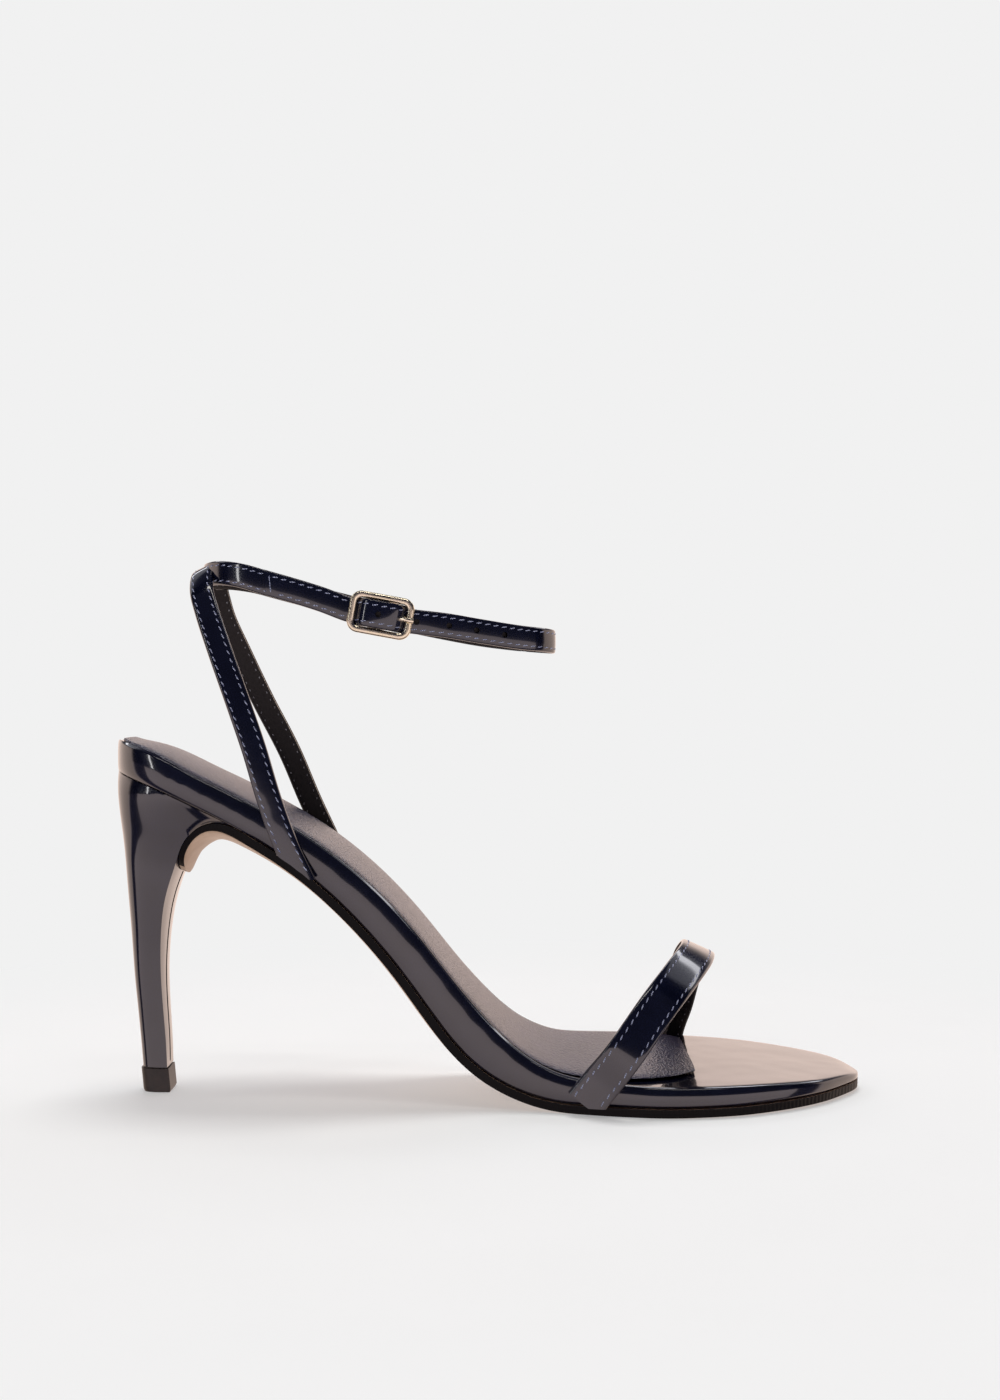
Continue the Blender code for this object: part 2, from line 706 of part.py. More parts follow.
def held_strap(name, table, across_size, height, width, step, finish, collection):
    """Strap whose two ends lie on the sides of the board and tuck in at its lower edge."""
    sizes = (SOLE_LENGTH, across_size, height, 1.0, 1.0)
    points = np.stack([column(table, key) * size for key, size in zip(table[0], sizes)], axis=1)
    fine = spline(points, step)
    runs = directions(fine[:, :3])
    rows = []
    for (x, y, z, turn, hug), run in zip(fine, runs):
        level = np.array([math.cos(math.radians(turn)), 0.0, math.sin(math.radians(turn))])
        level -= run * np.dot(level, run)
        level /= np.linalg.norm(level)
        side = -1 if y < 0 else 1
        row = []
        for v in (-0.5, 0.0, 0.5):
            place = np.array([x, y, z]) + level * (v * width)
            held = half_width(place[0], side) + GAP + 0.5 * STRAP_THICKNESS
            place[1] += max(0.0, min(1.0, hug)) * (side * held - place[1])
            row.append(place)
        rows.append(row)
    rows[0] = [seat_on_board(edge, before) for edge, before in zip(rows[0], rows[1])]
    rows[-1] = [seat_on_board(edge, before) for edge, before in zip(rows[-1], rows[-2])]
    return ribbon(name, rows, STRAP_THICKNESS, finish, collection)


def buckle_frame_matrix():
    """Place of the buckle: its X runs along the strap to the front, its Z points outwards."""
    inner = abs(ANKLE_STRAP[1][1]) * ANKLE_WIDTH
    depth = -strap_levels()["carrier"]
    centre = Vector((BUCKLE_PLACE[0] * SOLE_LENGTH + REAR, -(inner + depth),
                     BUCKLE_PLACE[1] * ANKLE_HEIGHT))
    along = Vector((math.cos(BUCKLE_TILT), 0.0, -math.sin(BUCKLE_TILT)))
    outwards = Vector((0.0, -1.0, 0.0))
    turned = Matrix((along, outwards.cross(along), outwards)).transposed()
    return Matrix.Translation(centre) @ turned.to_4x4()


def strap_levels():
    """Distances from the buckle's plane, outwards, of the strap's layers and of the bar."""
    layer = ANKLE_STRAP_THICKNESS + GAP
    under_frame = -(0.5 * BUCKLE_WIRE + GAP + 0.5 * ANKLE_STRAP_THICKNESS)
    fold = 0.5 * BAR_WIRE + GAP + 0.5 * ANKLE_STRAP_THICKNESS
    return {
        "tail": under_frame,
        "carrier": under_frame - layer,
        "bar": -BAR_SETBACK,
        "fold": fold,
        "over_bar": -BAR_SETBACK + fold + layer,
    }


def ankle_path():
    """Middle line of the ankle strap, from its fold round the bar to the tip of its holed end.

    Each row holds a place and the direction of the strap's width there.
    """
    levels = strap_levels()
    place = buckle_frame_matrix()
    half = 0.5 * (BUCKLE_LENGTH - BUCKLE_WIRE)
    fold = levels["fold"]
    bar = levels["bar"]

    def at_buckle(rows):
        made = []
        for along, out in rows:
            point = place @ Vector((along, 0.0, out))
            made.append((point.x - REAR, point.y, point.z, *place.col[1].xyz))
        return made

    start = [(-0.40 * half, bar - fold), (-0.15 * half, bar - fold)]
    for angle in (-55, -18, 18, 55):
        turn = math.radians(angle)
        start.append((fold * math.cos(turn), bar + fold * math.sin(turn)))
    start += [(-0.05 * half, bar + fold), (-0.45 * half, 0.6 * bar), (-half, levels["carrier"])]
    weave = [
        (1.12 * half, levels["tail"]),
        (0.88 * half, levels["tail"]),
        (0.76 * half, 0.55 * levels["tail"]),
        (0.60 * half, 0.10 * levels["over_bar"]),
        (0.43 * half, 0.76 * levels["over_bar"]),
        (0.18 * half, levels["over_bar"]),
        (-0.18 * half, levels["over_bar"]),
        (-0.50 * half, 0.72 * levels["over_bar"]),
        (-0.74 * half, 0.35 * levels["tail"]),
        (-0.90 * half, levels["tail"]),
        (-1.12 * half, levels["tail"]),
    ]
    sizes = (SOLE_LENGTH, ANKLE_WIDTH, ANKLE_HEIGHT)
    free = np.stack([column(ANKLE_STRAP, key) * size for key, size in zip("xyz", sizes)], axis=1)
    free = np.hstack([free, np.tile((0.0, 0.0, 1.0), (len(free), 1))])
    end = free[:3] - (0.0, ANKLE_STRAP_THICKNESS + GAP, 0.0, 0.0, 0.0, 0.0)
    return np.vstack([at_buckle(start), free, at_buckle(weave), end])


def pin_points():
    """Middle line of the pin in the buckle's own plane: round the bar, then out to the front."""
    half = 0.5 * (BUCKLE_LENGTH - BUCKLE_WIRE)
    ring = 0.5 * BAR_WIRE + GAP + 0.5 * PIN_WIRE
    points = []
    for angle in np.linspace(70, 310, 11):
        turn = math.radians(angle)
        points.append((ring * math.cos(turn), 0.0, -BAR_SETBACK + ring * math.sin(turn)))
    rest = 0.5 * BUCKLE_WIRE + GAP + 0.5 * PIN_WIRE
    points.append((half, 0.0, rest))
    points.append((half + 0.6 * BUCKLE_WIRE, 0.0, rest - 0.1 * BUCKLE_WIRE))
    return points


def build_ankle_straps(finish, collection, cutters):
    """Ankle strap and the strap behind the heel, joined where they cross."""
    path = spline(ankle_path(), ANKLE_STRAP_STEP)
    runs = directions(path[:, :3])
    rows = []
    for point, run in zip(path, runs):
        upright = point[3:] - run * np.dot(point[3:], run)
        upright /= np.linalg.norm(upright)
        rows.append([point[:3] + upright * (v * STRAP_WIDTH) for v in (-0.5, 0.5)])
    straps = ribbon("ankle_straps", rows, ANKLE_STRAP_THICKNESS, finish, collection)
    back = held_strap("back_strap", BACK_STRAP, ANKLE_WIDTH, ANKLE_HEIGHT, STRAP_WIDTH,
                      BACK_STRAP_STEP, finish, cutters)
    boolean(straps, as_cutter(back), "UNION")

    place = buckle_frame_matrix()
    fold = strap_levels()["fold"] + 0.5 * ANKLE_STRAP_THICKNESS
    bpy.ops.mesh.primitive_cube_add(size=1.0)
    slot = bpy.context.object
    slot.name = "pin_slot"
    slot.scale = (2.1 * fold, PIN_SLOT, 2 * fold + GAP)
    slot.matrix_world = place @ Matrix.Translation((0, 0, -BAR_SETBACK)) @ Matrix.Diagonal(
        (*slot.scale, 1.0))
    move_to(slot, cutters)
    boolean(straps, as_cutter(slot), "DIFFERENCE")

    start, end = (Vector(point) for point in pin_points()[-3:-1])
    way = end - start
    bpy.ops.mesh.primitive_cylinder_add(vertices=16, radius=0.5 * PIN_HOLE, depth=0.42 * way.length)
    hole = bpy.context.object
    hole.name = "pin_hole"
    middle = start + way * 0.60
    turn = way.to_track_quat("Z", "Y").to_matrix().to_4x4()
    hole.matrix_world = place @ Matrix.Translation(middle) @ turn
    move_to(hole, cutters)
    boolean(straps, as_cutter(hole), "DIFFERENCE")
    return straps


def move_to(made, collection):
    """Takes an object out of its collections and into one."""
    for old in list(made.users_collection):
        old.objects.unlink(made)
    collection.objects.link(made)


def wire(name, points, thickness, closed, place, finish, collection):
    """Round wire along points, as a mesh with its ends closed."""
    curve = bpy.data.curves.new(name, "CURVE")
    curve.dimensions = "3D"
    curve.bevel_depth = 0.5 * thickness
    curve.bevel_resolution = 2
    curve.use_fill_caps = not closed
    line = curve.splines.new("POLY")
    line.points.add(len(points) - 1)
    for target, point in zip(line.points, points):
        target.co = (*point, 1.0)
    line.use_cyclic_u = closed
    guide = bpy.data.objects.new(name + "_line", curve)
    collection.objects.link(guide)
    guide.matrix_world = place
    bpy.context.view_layer.update()
    seen = guide.evaluated_get(bpy.context.evaluated_depsgraph_get())
    mesh = bpy.data.meshes.new_from_object(seen)
    mesh.name = name
    body = bmesh.new()
    body.from_mesh(mesh)
    bmesh.ops.remove_doubles(body, verts=body.verts, dist=0.00001)
    body.to_mesh(mesh)
    body.free()
    mesh.shade_smooth()
    mesh.set_sharp_from_angle(angle=math.radians(50))
    made = add_object(name, mesh, finish, collection)
    made.matrix_world = guide.matrix_world
    bpy.data.objects.remove(guide)
    return made


def build_buckle(finish, collection, cutters):
    """Rounded frame with its bar across the middle, and the pin on the bar."""
    place = buckle_frame_matrix()
    half_length = 0.5 * (BUCKLE_LENGTH - BUCKLE_WIRE)
    half_height = 0.5 * (BUCKLE_HEIGHT - BUCKLE_WIRE)
    outline = []
    for corner, (side, top) in enumerate(((1, 1), (-1, 1), (-1, -1), (1, -1))):
        for turn in np.linspace(0, 0.5 * math.pi, 6):
            angle = turn + corner * 0.5 * math.pi
            outline.append((
                side * (half_length - BUCKLE_CORNER) + BUCKLE_CORNER * math.cos(angle),
                top * (half_height - BUCKLE_CORNER) + BUCKLE_CORNER * math.sin(angle), 0.0))
    frame = wire("buckle_frame", outline, BUCKLE_WIRE, True, place, finish, collection)
    flat = 0.5 * STRAP_WIDTH + GAP
    bar_line = [(0.0, -half_height, 0.0), (0.0, -0.5 * (half_height + flat), -0.7 * BAR_SETBACK),
                (0.0, -flat, -BAR_SETBACK), (0.0, flat, -BAR_SETBACK),
                (0.0, 0.5 * (half_height + flat), -0.7 * BAR_SETBACK), (0.0, half_height, 0.0)]
    bar = wire("buckle_bar", bar_line, BAR_WIRE, False, place, finish, cutters)
    boolean(frame, as_cutter(bar), "UNION")
    wire("buckle_pin", pin_points(), PIN_WIRE, False, place, finish, collection)


def main():
    """Clears the scene and builds the sandal."""
    for old in list(bpy.data.objects):
        bpy.data.objects.remove(old)
    parts = bpy.data.collections.new("strappy_heeled_sandal")
    cutters = bpy.data.collections.new("cutters")
    bpy.context.scene.collection.children.link(parts)
    bpy.context.scene.collection.children.link(cutters)
    patent = material("navy_patent_leather", (0.005, 0.006, 0.016), 0.12)
    nappa = material("sock_nappa", (0.060, 0.055, 0.100), 0.50)
    sole_leather = material("tan_sole_leather", (0.420, 0.270, 0.170), 0.60)
    tip_rubber = material("top_piece_rubber", (0.050, 0.040, 0.035), 0.50)
    gilt = material("light_gold_plate", (0.850, 0.720, 0.520), 0.20, 1.0)
    build_outsole(sole_leather, parts)
    build_board(patent, parts)
    build_sock(nappa, parts)
    build_heel(patent, parts)
    build_top_piece(tip_rubber, parts)
    held_strap("toe_strap", TOE_STRAP, BALL_WIDTH, TOE_ARCH_HEIGHT, TOE_STRAP_WIDTH,
               TOE_STRAP_STEP, patent, parts)
    build_ankle_straps(patent, parts, cutters)
    build_buckle(gilt, parts, cutters)


main()
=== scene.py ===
"""Finishes for a strappy heeled sandal: patent leather, stitched straps, grained sock and gilt buckle.

Run as a script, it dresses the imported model, lights it and places the camera.
"""

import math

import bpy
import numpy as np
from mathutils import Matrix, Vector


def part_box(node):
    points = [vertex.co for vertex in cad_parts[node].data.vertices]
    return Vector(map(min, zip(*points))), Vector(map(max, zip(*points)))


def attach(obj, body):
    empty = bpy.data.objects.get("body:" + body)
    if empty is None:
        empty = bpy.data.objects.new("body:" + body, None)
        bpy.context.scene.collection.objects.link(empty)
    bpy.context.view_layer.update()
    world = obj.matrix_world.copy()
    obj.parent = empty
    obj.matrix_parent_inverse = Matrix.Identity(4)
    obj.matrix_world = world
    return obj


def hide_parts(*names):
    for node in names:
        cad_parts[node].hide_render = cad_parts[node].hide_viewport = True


bl_info = {
    "name": "Heeled Sandal Finishes",
    "version": (1, 0, 0),
    "blender": (4, 5, 0),
    "location": "3D View > Sidebar > Sandal",
    "description": "Dresses a strappy heeled sandal in patent leather, stitching and gilt metal",
    "category": "Object",
}

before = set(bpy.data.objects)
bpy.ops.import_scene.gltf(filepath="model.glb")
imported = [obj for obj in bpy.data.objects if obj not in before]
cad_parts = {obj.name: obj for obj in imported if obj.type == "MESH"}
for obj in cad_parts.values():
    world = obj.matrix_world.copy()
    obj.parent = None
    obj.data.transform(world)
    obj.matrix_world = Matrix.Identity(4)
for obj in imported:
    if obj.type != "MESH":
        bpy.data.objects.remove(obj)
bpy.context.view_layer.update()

# Sizes that the straps and the buckle are worked out from, in metres. The rim's step is the ledge
# round its face, and the setback is how far the bar lies behind the frame's plane.
GAP = 0.0003
BOARD_LOW, BOARD_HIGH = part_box("footbed_board")
SOLE_LENGTH = BOARD_HIGH.x - BOARD_LOW.x
REAR = BOARD_LOW.x
BALL_WIDTH = 0.0695
TOE_STRAP_WIDTH = 0.0106
STRAP_WIDTH = 0.0070
STRAP_THICKNESS = 0.0018
ANKLE_STRAP_THICKNESS = 0.0014
TOE_ARCH_HEIGHT = 0.0445
ANKLE_HEIGHT = 0.1550
ANKLE_WIDTH = 0.0400
BUCKLE_LENGTH = 0.0184
BUCKLE_HEIGHT = 0.0119
BUCKLE_WIRE = 0.0016
BUCKLE_CORNER = 0.0025
RIM_WIDTH = 0.0019
RIM_STEP = 0.0004
BAR_WIRE = 0.0013
BAR_SETBACK = 0.0016
PIN_WIRE = 0.0011
BUCKLE_TILT = math.radians(10.5)
BUCKLE_HALF = 0.5 * (BUCKLE_LENGTH - BUCKLE_WIRE)

# Middle of the buckle: x as a share of the sole's length, z as a share of the ankle's height
BUCKLE_PLACE = (0.3600, 0.8965)

# Spacing of the sections along a strap, and of the rings along the buckle's pin
STRAP_STEP = 0.0012
PIN_STEP = 0.0006

# Middle lines of the straps, with the columns of the solids: x as a share of the sole's length,
# y as a share of the ball's or the ankle's width, z as a share of the arch's or the ankle's
# height, turn of the width in degrees, how far the strap hugs the board
TOE_STRAP = (
    ("x", "y", "z", "turn", "hug"),
    (0.620, -0.530, 0.075, -34.0, 1.0),
    (0.642, -0.530, 0.215, -34.0, 1.0),
    (0.670, -0.520, 0.400, -34.0, 0.3),
    (0.710, -0.450, 0.650, -34.0, 0.0),
    (0.747, -0.310, 0.825, -33.0, 0.0),
    (0.775, -0.110, 0.915, -29.0, 0.0),
    (0.784, 0.060, 0.920, -24.0, 0.0),
    (0.782, 0.240, 0.830, -16.0, 0.0),
    (0.775, 0.370, 0.640, -10.0, 0.0),
    (0.766, 0.445, 0.410, -10.0, 0.1),
    (0.757, 0.480, 0.240, -12.0, 1.0),
    (0.751, 0.490, 0.090, -12.0, 1.0),
)
BACK_STRAP = (
    ("x", "y", "z", "turn", "hug"),
    (0.2640, -0.660, 0.410, 27.0, 1.0),
    (0.2400, -0.660, 0.482, 25.0, 1.0),
    (0.2190, -0.655, 0.562, 22.0, 0.1),
    (0.1985, -0.635, 0.655, 20.0, 0.0),
    (0.1755, -0.600, 0.745, 19.0, 0.0),
    (0.1515, -0.520, 0.832, 18.0, 0.0),
    (0.1310, -0.400, 0.905, 18.0, 0.0),
    (0.1210, -0.310, 0.946, 21.0, 0.0),
    (0.1180, -0.160, 0.982, 25.0, 0.0),
    (0.1200, 0.000, 0.990, 27.0, 0.0),
    (0.1210, 0.160, 0.980, 25.0, 0.0),
    (0.1240, 0.300, 0.942, 21.0, 0.0),
    (0.1300, 0.390, 0.902, 18.0, 0.0),
    (0.1480, 0.500, 0.838, 19.0, 0.0),
    (0.1780, 0.600, 0.742, 22.0, 0.0),
    (0.2140, 0.645, 0.641, 24.0, 0.0),
    (0.2440, 0.665, 0.541, 26.0, 0.4),
    (0.2680, 0.665, 0.470, 28.0, 1.0),
    (0.2860, 0.665, 0.414, 30.0, 1.0),
)
ANKLE_STRAP = (
    ("x", "y", "z"),
    (0.2830, -0.4530, 0.926),
    (0.2470, -0.4500, 0.942),
    (0.2100, -0.4320, 0.957),
    (0.1740, -0.3700, 0.972),
    (0.1430, -0.2620, 0.979),
    (0.1240, -0.1350, 0.978),
    (0.1180, 0.0000, 0.977),
    (0.1240, 0.1350, 0.977),
    (0.1430, 0.2620, 0.979),
    (0.1740, 0.3700, 0.974),
    (0.2100, 0.4250, 0.961),
    (0.2830, 0.4680, 0.934),
    (0.3590, 0.4880, 0.907),
    (0.4430, 0.4580, 0.882),
    (0.4880, 0.3900, 0.870),
    (0.5390, 0.2620, 0.860),
    (0.5740, 0.1300, 0.855),
    (0.5860, 0.0000, 0.853),
    (0.5740, -0.1350, 0.855),
    (0.5390, -0.2750, 0.859),
    (0.4880, -0.3980, 0.869),
    (0.4430, -0.4680, 0.879),
)

# Slant of the holed end's tip, as length along the strap for a length across it, and the stretch
# of strap over which it fades out
TIP_SLANT = 0.40
TIP_REACH = 0.008

# Share by which the strap is pressed wider inside the buckle, and how far from the buckle's middle
# that ends, with the stretch over which it fades out
BUCKLE_SWELL = 0.13
SWELL_REACH = 0.0092
SWELL_FADE = 0.002

# Section of a strap. Shares of its thickness: rounding of the patent's edges and of the lining's.
# Shares of half its thickness: foot of the patent, top of the lining measured inwards, and how far
# the whole lining is moved inwards, past the strap's inner face. Then the lining's width as a
# share of the strap's, and how far the patent is crowned, in metres.
PATENT_ROUND = 0.45
LINING_ROUND = 0.30
PATENT_FOOT = -0.15
LINING_TOP = 0.15
LINING_SINK = 0.04
LINING_WIDTH = 0.95
PATENT_CROWN = 0.00012

# Seams: height of the thread's middle over the face, distance of the first stitch from a strap's
# end, of the last one from the other end or from a tip with a cross seam, distance of that cross
# seam from the tip, its stitches as shares of its length, the slant of a stitch, and how far above
# the foot of the board's wall a stitch has to lie
THREAD_LIFT = 0.00004
SEAM_START = 0.0012
SEAM_STOP = 0.0008
TIP_STOP = 0.0026
TIP_SEAM = 0.0014
TIP_STITCHES = (0.18, 0.5, 0.82)
STITCH_TURN = math.radians(13.0)
FOOT_CLEAR = 0.0004

# Seam of the wrap down the heel's breast, and a place in front of the breast, behind the arch
SEAM_WIDTH = 0.0003
BREAST_FRONT = 0.030

# Punched holes of the ankle strap: distance in front of the buckle's middle
HOLES = (-0.0010, 0.0105, 0.0193, 0.0274, 0.0360)

# Length of the toe's end whose rim is inked, as the sides are
INKED_TOE = 0.004

# Bevel of the top piece's ground edge
TIP_BEVEL = 0.0004

# Angles above which an edge of a smooth copy stays crisp, and below which its faces shade as one
CRISP_ANGLE = math.radians(35)
SMOOTH_ANGLE = math.radians(60)
WRAPPED_ANGLE = math.radians(50)

# Darker or paler second tones of the materials
SOLE_CLOUD = "#a78870"
SOCK_SHADE = "#2d2a40"
LINING_SHADE = "#17120f"
THREAD_SHADE = "#5d638a"
BOBBIN_SHADE = "#4a464c"
INK_BLOOM = "#0b090c"
EDGE_FIBRE = "#6f5f55"
GILT_LIGHT = "#fff3dd"
TIP_MOTTLE = "#2e211b"

# Stage: colour of the background, tones of the floor's paper, its glow as a share of the
# background's colour, its width, and the distances from the shoe's middle between which it fades
# into the background
BACKGROUND = "#f1f1f1"
PAPER_TONES = ("#d6d7d7", "#d8d9d9")
FLOOR_GLOW = 0.375
FLOOR_SPAN = 12.0
SHOE_MIDDLE = (0.1, 0.0, 0.0)
WASH_START = 0.14
WASH_END = 0.30

# Camera: level with the middle of the photograph's frame, square to the shoe's outer side
CAMERA_PLACE = (0.1008, -0.485, 0.115)
CAMERA_LENS = 42.17
CAMERA_SENSOR = 36.0
CAMERA_NEAR = 0.01


def column(table, name):
    """One named column of a table whose first row holds the names."""
    place = table[0].index(name)
    return np.array([row[place] for row in table[1:]], float)


def spline(points, step):
    """Points of a round curve through the rows of an array, about a step apart."""
    rows = np.vstack([2 * points[0] - points[1], points, 2 * points[-1] - points[-2]])
    made = []
    for i in range(1, len(rows) - 2):
        p0, p1, p2, p3 = rows[i - 1:i + 3]
        knots = [0.0]
        for a, b in ((p0, p1), (p1, p2), (p2, p3)):
            knots.append(knots[-1] + np.linalg.norm((b - a)[:3]) ** 0.5)
        t0, t1, t2, t3 = knots
        pieces = max(1, round(np.linalg.norm((p2 - p1)[:3]) / step))
        for t in np.linspace(t1, t2, pieces, endpoint=False):
            a1 = (t1 - t) / (t1 - t0) * p0 + (t - t0) / (t1 - t0) * p1
            a2 = (t2 - t) / (t2 - t1) * p1 + (t - t1) / (t2 - t1) * p2
            a3 = (t3 - t) / (t3 - t2) * p2 + (t - t2) / (t3 - t2) * p3
            b1 = (t2 - t) / (t2 - t0) * a1 + (t - t0) / (t2 - t0) * a2
            b2 = (t3 - t) / (t3 - t1) * a2 + (t - t1) / (t3 - t1) * a3
            made.append((t2 - t) / (t2 - t1) * b1 + (t - t1) / (t2 - t1) * b2)
    made.append(points[-1])
    return np.array(made)


def unit(rows):
    """Rows of vectors at length one."""
    return rows / np.linalg.norm(rows, axis=-1, keepdims=True)


def board_outline():
    """Rows of x, outer edge, inner edge and height of the wall's foot, from the board's rings."""
    points = np.array([vertex.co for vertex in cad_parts["footbed_board"].data.vertices])
    places = np.round(points[:, 0], 5)
    rows = []
    for place in np.unique(places):
        ring = points[places == place]
        wall = ring[np.abs(ring[:, 1]) > 0.85 * np.abs(ring[:, 1]).max()]
        rows.append((place, ring[:, 1].min(), ring[:, 1].max(), wall[:, 2].min()))
    return np.array(rows)


OUTLINE = board_outline()


def buckle_matrix():
    """Place of the buckle: its X runs along the strap to the front, its Z points outwards."""
    depth = abs(ANKLE_STRAP[1][1]) * ANKLE_WIDTH - strap_levels()["carrier"]
    centre = Vector((BUCKLE_PLACE[0] * SOLE_LENGTH + REAR, -depth, BUCKLE_PLACE[1] * ANKLE_HEIGHT))
    along = Vector((math.cos(BUCKLE_TILT), 0.0, -math.sin(BUCKLE_TILT)))
    outwards = Vector((0.0, -1.0, 0.0))
    turned = Matrix((along, outwards.cross(along), outwards)).transposed()
    return Matrix.Translation(centre) @ turned.to_4x4()


def strap_levels():
    """Distances from the buckle's plane, outwards, of the strap's layers and of the bar."""
    layer = ANKLE_STRAP_THICKNESS + GAP
    under_frame = -(0.5 * BUCKLE_WIRE + GAP + 0.5 * ANKLE_STRAP_THICKNESS)
    fold = 0.5 * BAR_WIRE + GAP + 0.5 * ANKLE_STRAP_THICKNESS
    return {
        "tail": under_frame,
        "carrier": under_frame - layer,
        "bar": -BAR_SETBACK,
        "fold": fold,
        "over_bar": -BAR_SETBACK + fold + layer,
    }


def ankle_rows():
    """Rows of place and width direction along the ankle strap."""
    levels = strap_levels()
    place = buckle_matrix()
    half = BUCKLE_HALF
    fold = levels["fold"]
    bar = levels["bar"]

    def at_buckle(rows):
        return [(*(place @ Vector((along, 0.0, out))), *place.col[1].xyz) for along, out in rows]

    start = [(-0.40 * half, bar - fold), (-0.15 * half, bar - fold)]
    for angle in (-55, -18, 18, 55):
        turn = math.radians(angle)
        start.append((fold * math.cos(turn), bar + fold * math.sin(turn)))
    start += [(-0.05 * half, bar + fold), (-0.45 * half, 0.6 * bar), (-half, levels["carrier"])]
    weave = [
        (1.12 * half, levels["tail"]),
        (0.88 * half, levels["tail"]),
        (0.76 * half, 0.55 * levels["tail"]),
        (0.60 * half, 0.10 * levels["over_bar"]),
        (0.43 * half, 0.76 * levels["over_bar"]),
        (0.18 * half, levels["over_bar"]),
        (-0.18 * half, levels["over_bar"]),
        (-0.50 * half, 0.72 * levels["over_bar"]),
        (-0.74 * half, 0.35 * levels["tail"]),
        (-0.90 * half, levels["tail"]),
        (-1.12 * half, levels["tail"]),
    ]
    sizes = (SOLE_LENGTH, ANKLE_WIDTH, ANKLE_HEIGHT)
    free = np.stack([column(ANKLE_STRAP, key) * size for key, size in zip("xyz", sizes)], axis=1)
    free[:, 0] += REAR
    free = np.hstack([free, np.tile((0.0, 0.0, 1.0), (len(free), 1))])
    end = free[:3] - (0.0, ANKLE_STRAP_THICKNESS + GAP, 0.0, 0.0, 0.0, 0.0)
    return np.vstack([at_buckle(start), free, at_buckle(weave), end])


class Strap:
    """Middle line of a strap with the directions of its width and of its outer face."""

    def __init__(self, centres, levels, hugs, width, thickness):
        self.centres = centres
        self.width = width
        self.thickness = thickness
        self.hugs = hugs
        run = unit(np.gradient(centres, axis=0))
        levels = levels - run * (levels * run).sum(1)[:, None]
        self.levels = unit(levels)
        self.outs = np.cross(self.levels, run)
        steps = np.linalg.norm(np.diff(centres, axis=0), axis=1)
        self.lengths = np.concatenate([[0.0], np.cumsum(steps)])
        self.run = run
        self.slant = 0.0
        self.swell = np.zeros(len(centres))

    def points(self, across, out):
        """Places along the strap at a distance from its middle, across it and out of it."""
        left = self.lengths[-1] - self.lengths
        share = np.clip(1.0 - left / TIP_REACH, 0.0, 1.0)[:, None]
        wide = across * (1.0 + self.swell[:, None])
        places = self.centres + self.levels * wide + self.run * share * across * self.slant
        hug = np.clip(self.hugs, 0.0, 1.0)
        side = np.where(self.centres[:, 1] < 0, 1, 2)
        for i in np.flatnonzero(hug):
            edge = np.interp(places[i, 0], OUTLINE[:, 0], OUTLINE[:, side[i]])
            held = edge + math.copysign(GAP + 0.5 * self.thickness, edge)
            places[i, 1] += hug[i] * (held - places[i, 1])
        return places + self.outs * out


def held_strap(table, across_size, height, width):
    """Strap whose two ends lie on the sides of the board."""
    sizes = (SOLE_LENGTH, across_size, height, 1.0, 1.0)
    points = np.stack([column(table, key) * size for key, size in zip(table[0], sizes)], axis=1)
    points[:, 0] += REAR
    fine = spline(points, STRAP_STEP)
    turns = np.radians(fine[:, 3])
    levels = np.stack([np.cos(turns), np.zeros(len(fine)), np.sin(turns)], axis=1)
    return Strap(fine[:, :3], levels, fine[:, 4], width, STRAP_THICKNESS)


def ankle_strap():
    """Strap round the ankle, from its fold at the buckle's bar to the tip of its holed end."""
    fine = spline(ankle_rows(), STRAP_STEP)
    made = Strap(fine[:, :3], fine[:, 3:6], np.zeros(len(fine)), STRAP_WIDTH, ANKLE_STRAP_THICKNESS)
    made.slant = TIP_SLANT
    away = np.linalg.norm(made.centres - np.array(buckle_matrix().translation), axis=1)
    made.swell = BUCKLE_SWELL * np.clip((SWELL_REACH - away) / SWELL_FADE, 0.0, 1.0)
    return made


def trim_to_board(grid):
    """Ends every line of a strap's grid where it reaches the foot of the board's wall."""
    middle = len(grid) // 2
    for order in (range(middle, len(grid)), range(middle, -1, -1)):
        for j in range(grid.shape[1]):
            before = None
            stopped = None
            for i in order:
                if stopped is not None:
                    grid[i, j] = stopped
                    continue
                here = grid[i, j].copy()
                foot = np.interp(here[0], OUTLINE[:, 0], OUTLINE[:, 3]) - GAP
                if before is not None and here[2] < foot and i != middle:
                    share = (foot - before[2]) / (here[2] - before[2])
                    stopped = before + (here - before) * share
                    grid[i, j] = stopped
                before = here
    return grid


def rounded_section(width, top, bottom, radius, crown, across=7, turn=4):
    """Section of a leather strip from its inner corner round its outer face, as across and out."""
    half = 0.5 * width
    section = [(-half, bottom)]
    for angle in np.linspace(0, 0.5 * math.pi, turn):
        section.append((-half + radius * (1 - math.cos(angle)), top - radius * (1 - math.sin(angle))))
    flat = half - radius
    for share in np.linspace(-1, 1, across)[1:-1]:
        section.append((share * flat, top + crown * (1 - share * share)))
    for angle in np.linspace(0.5 * math.pi, 0, turn):
        section.append((half - radius * (1 - math.cos(angle)), top - radius * (1 - math.sin(angle))))
    section.append((half, bottom))
    return section


def deselect():
    """Clears the selection, so that an operator acts on what is selected next alone."""
    if bpy.context.object and bpy.context.object.mode != "OBJECT":
        bpy.ops.object.mode_set(mode="OBJECT")
    bpy.ops.object.select_all(action="DESELECT")


def pick(made):
    """Selects one object and makes it the active one."""
    deselect()
    made.select_set(True)
    bpy.context.view_layer.objects.active = made
    return made


def settle(made):
    """Applies an object's place, so that it sits at the origin with its place in its mesh."""
    pick(made)
    bpy.ops.object.transform_apply(location=True, rotation=True, scale=True)
    return made


def apply_modifiers(made):
    """Applies an object's modifiers in order."""
    pick(made)
    for modifier in list(made.modifiers):
        bpy.ops.object.modifier_apply(modifier=modifier.name)
    return made


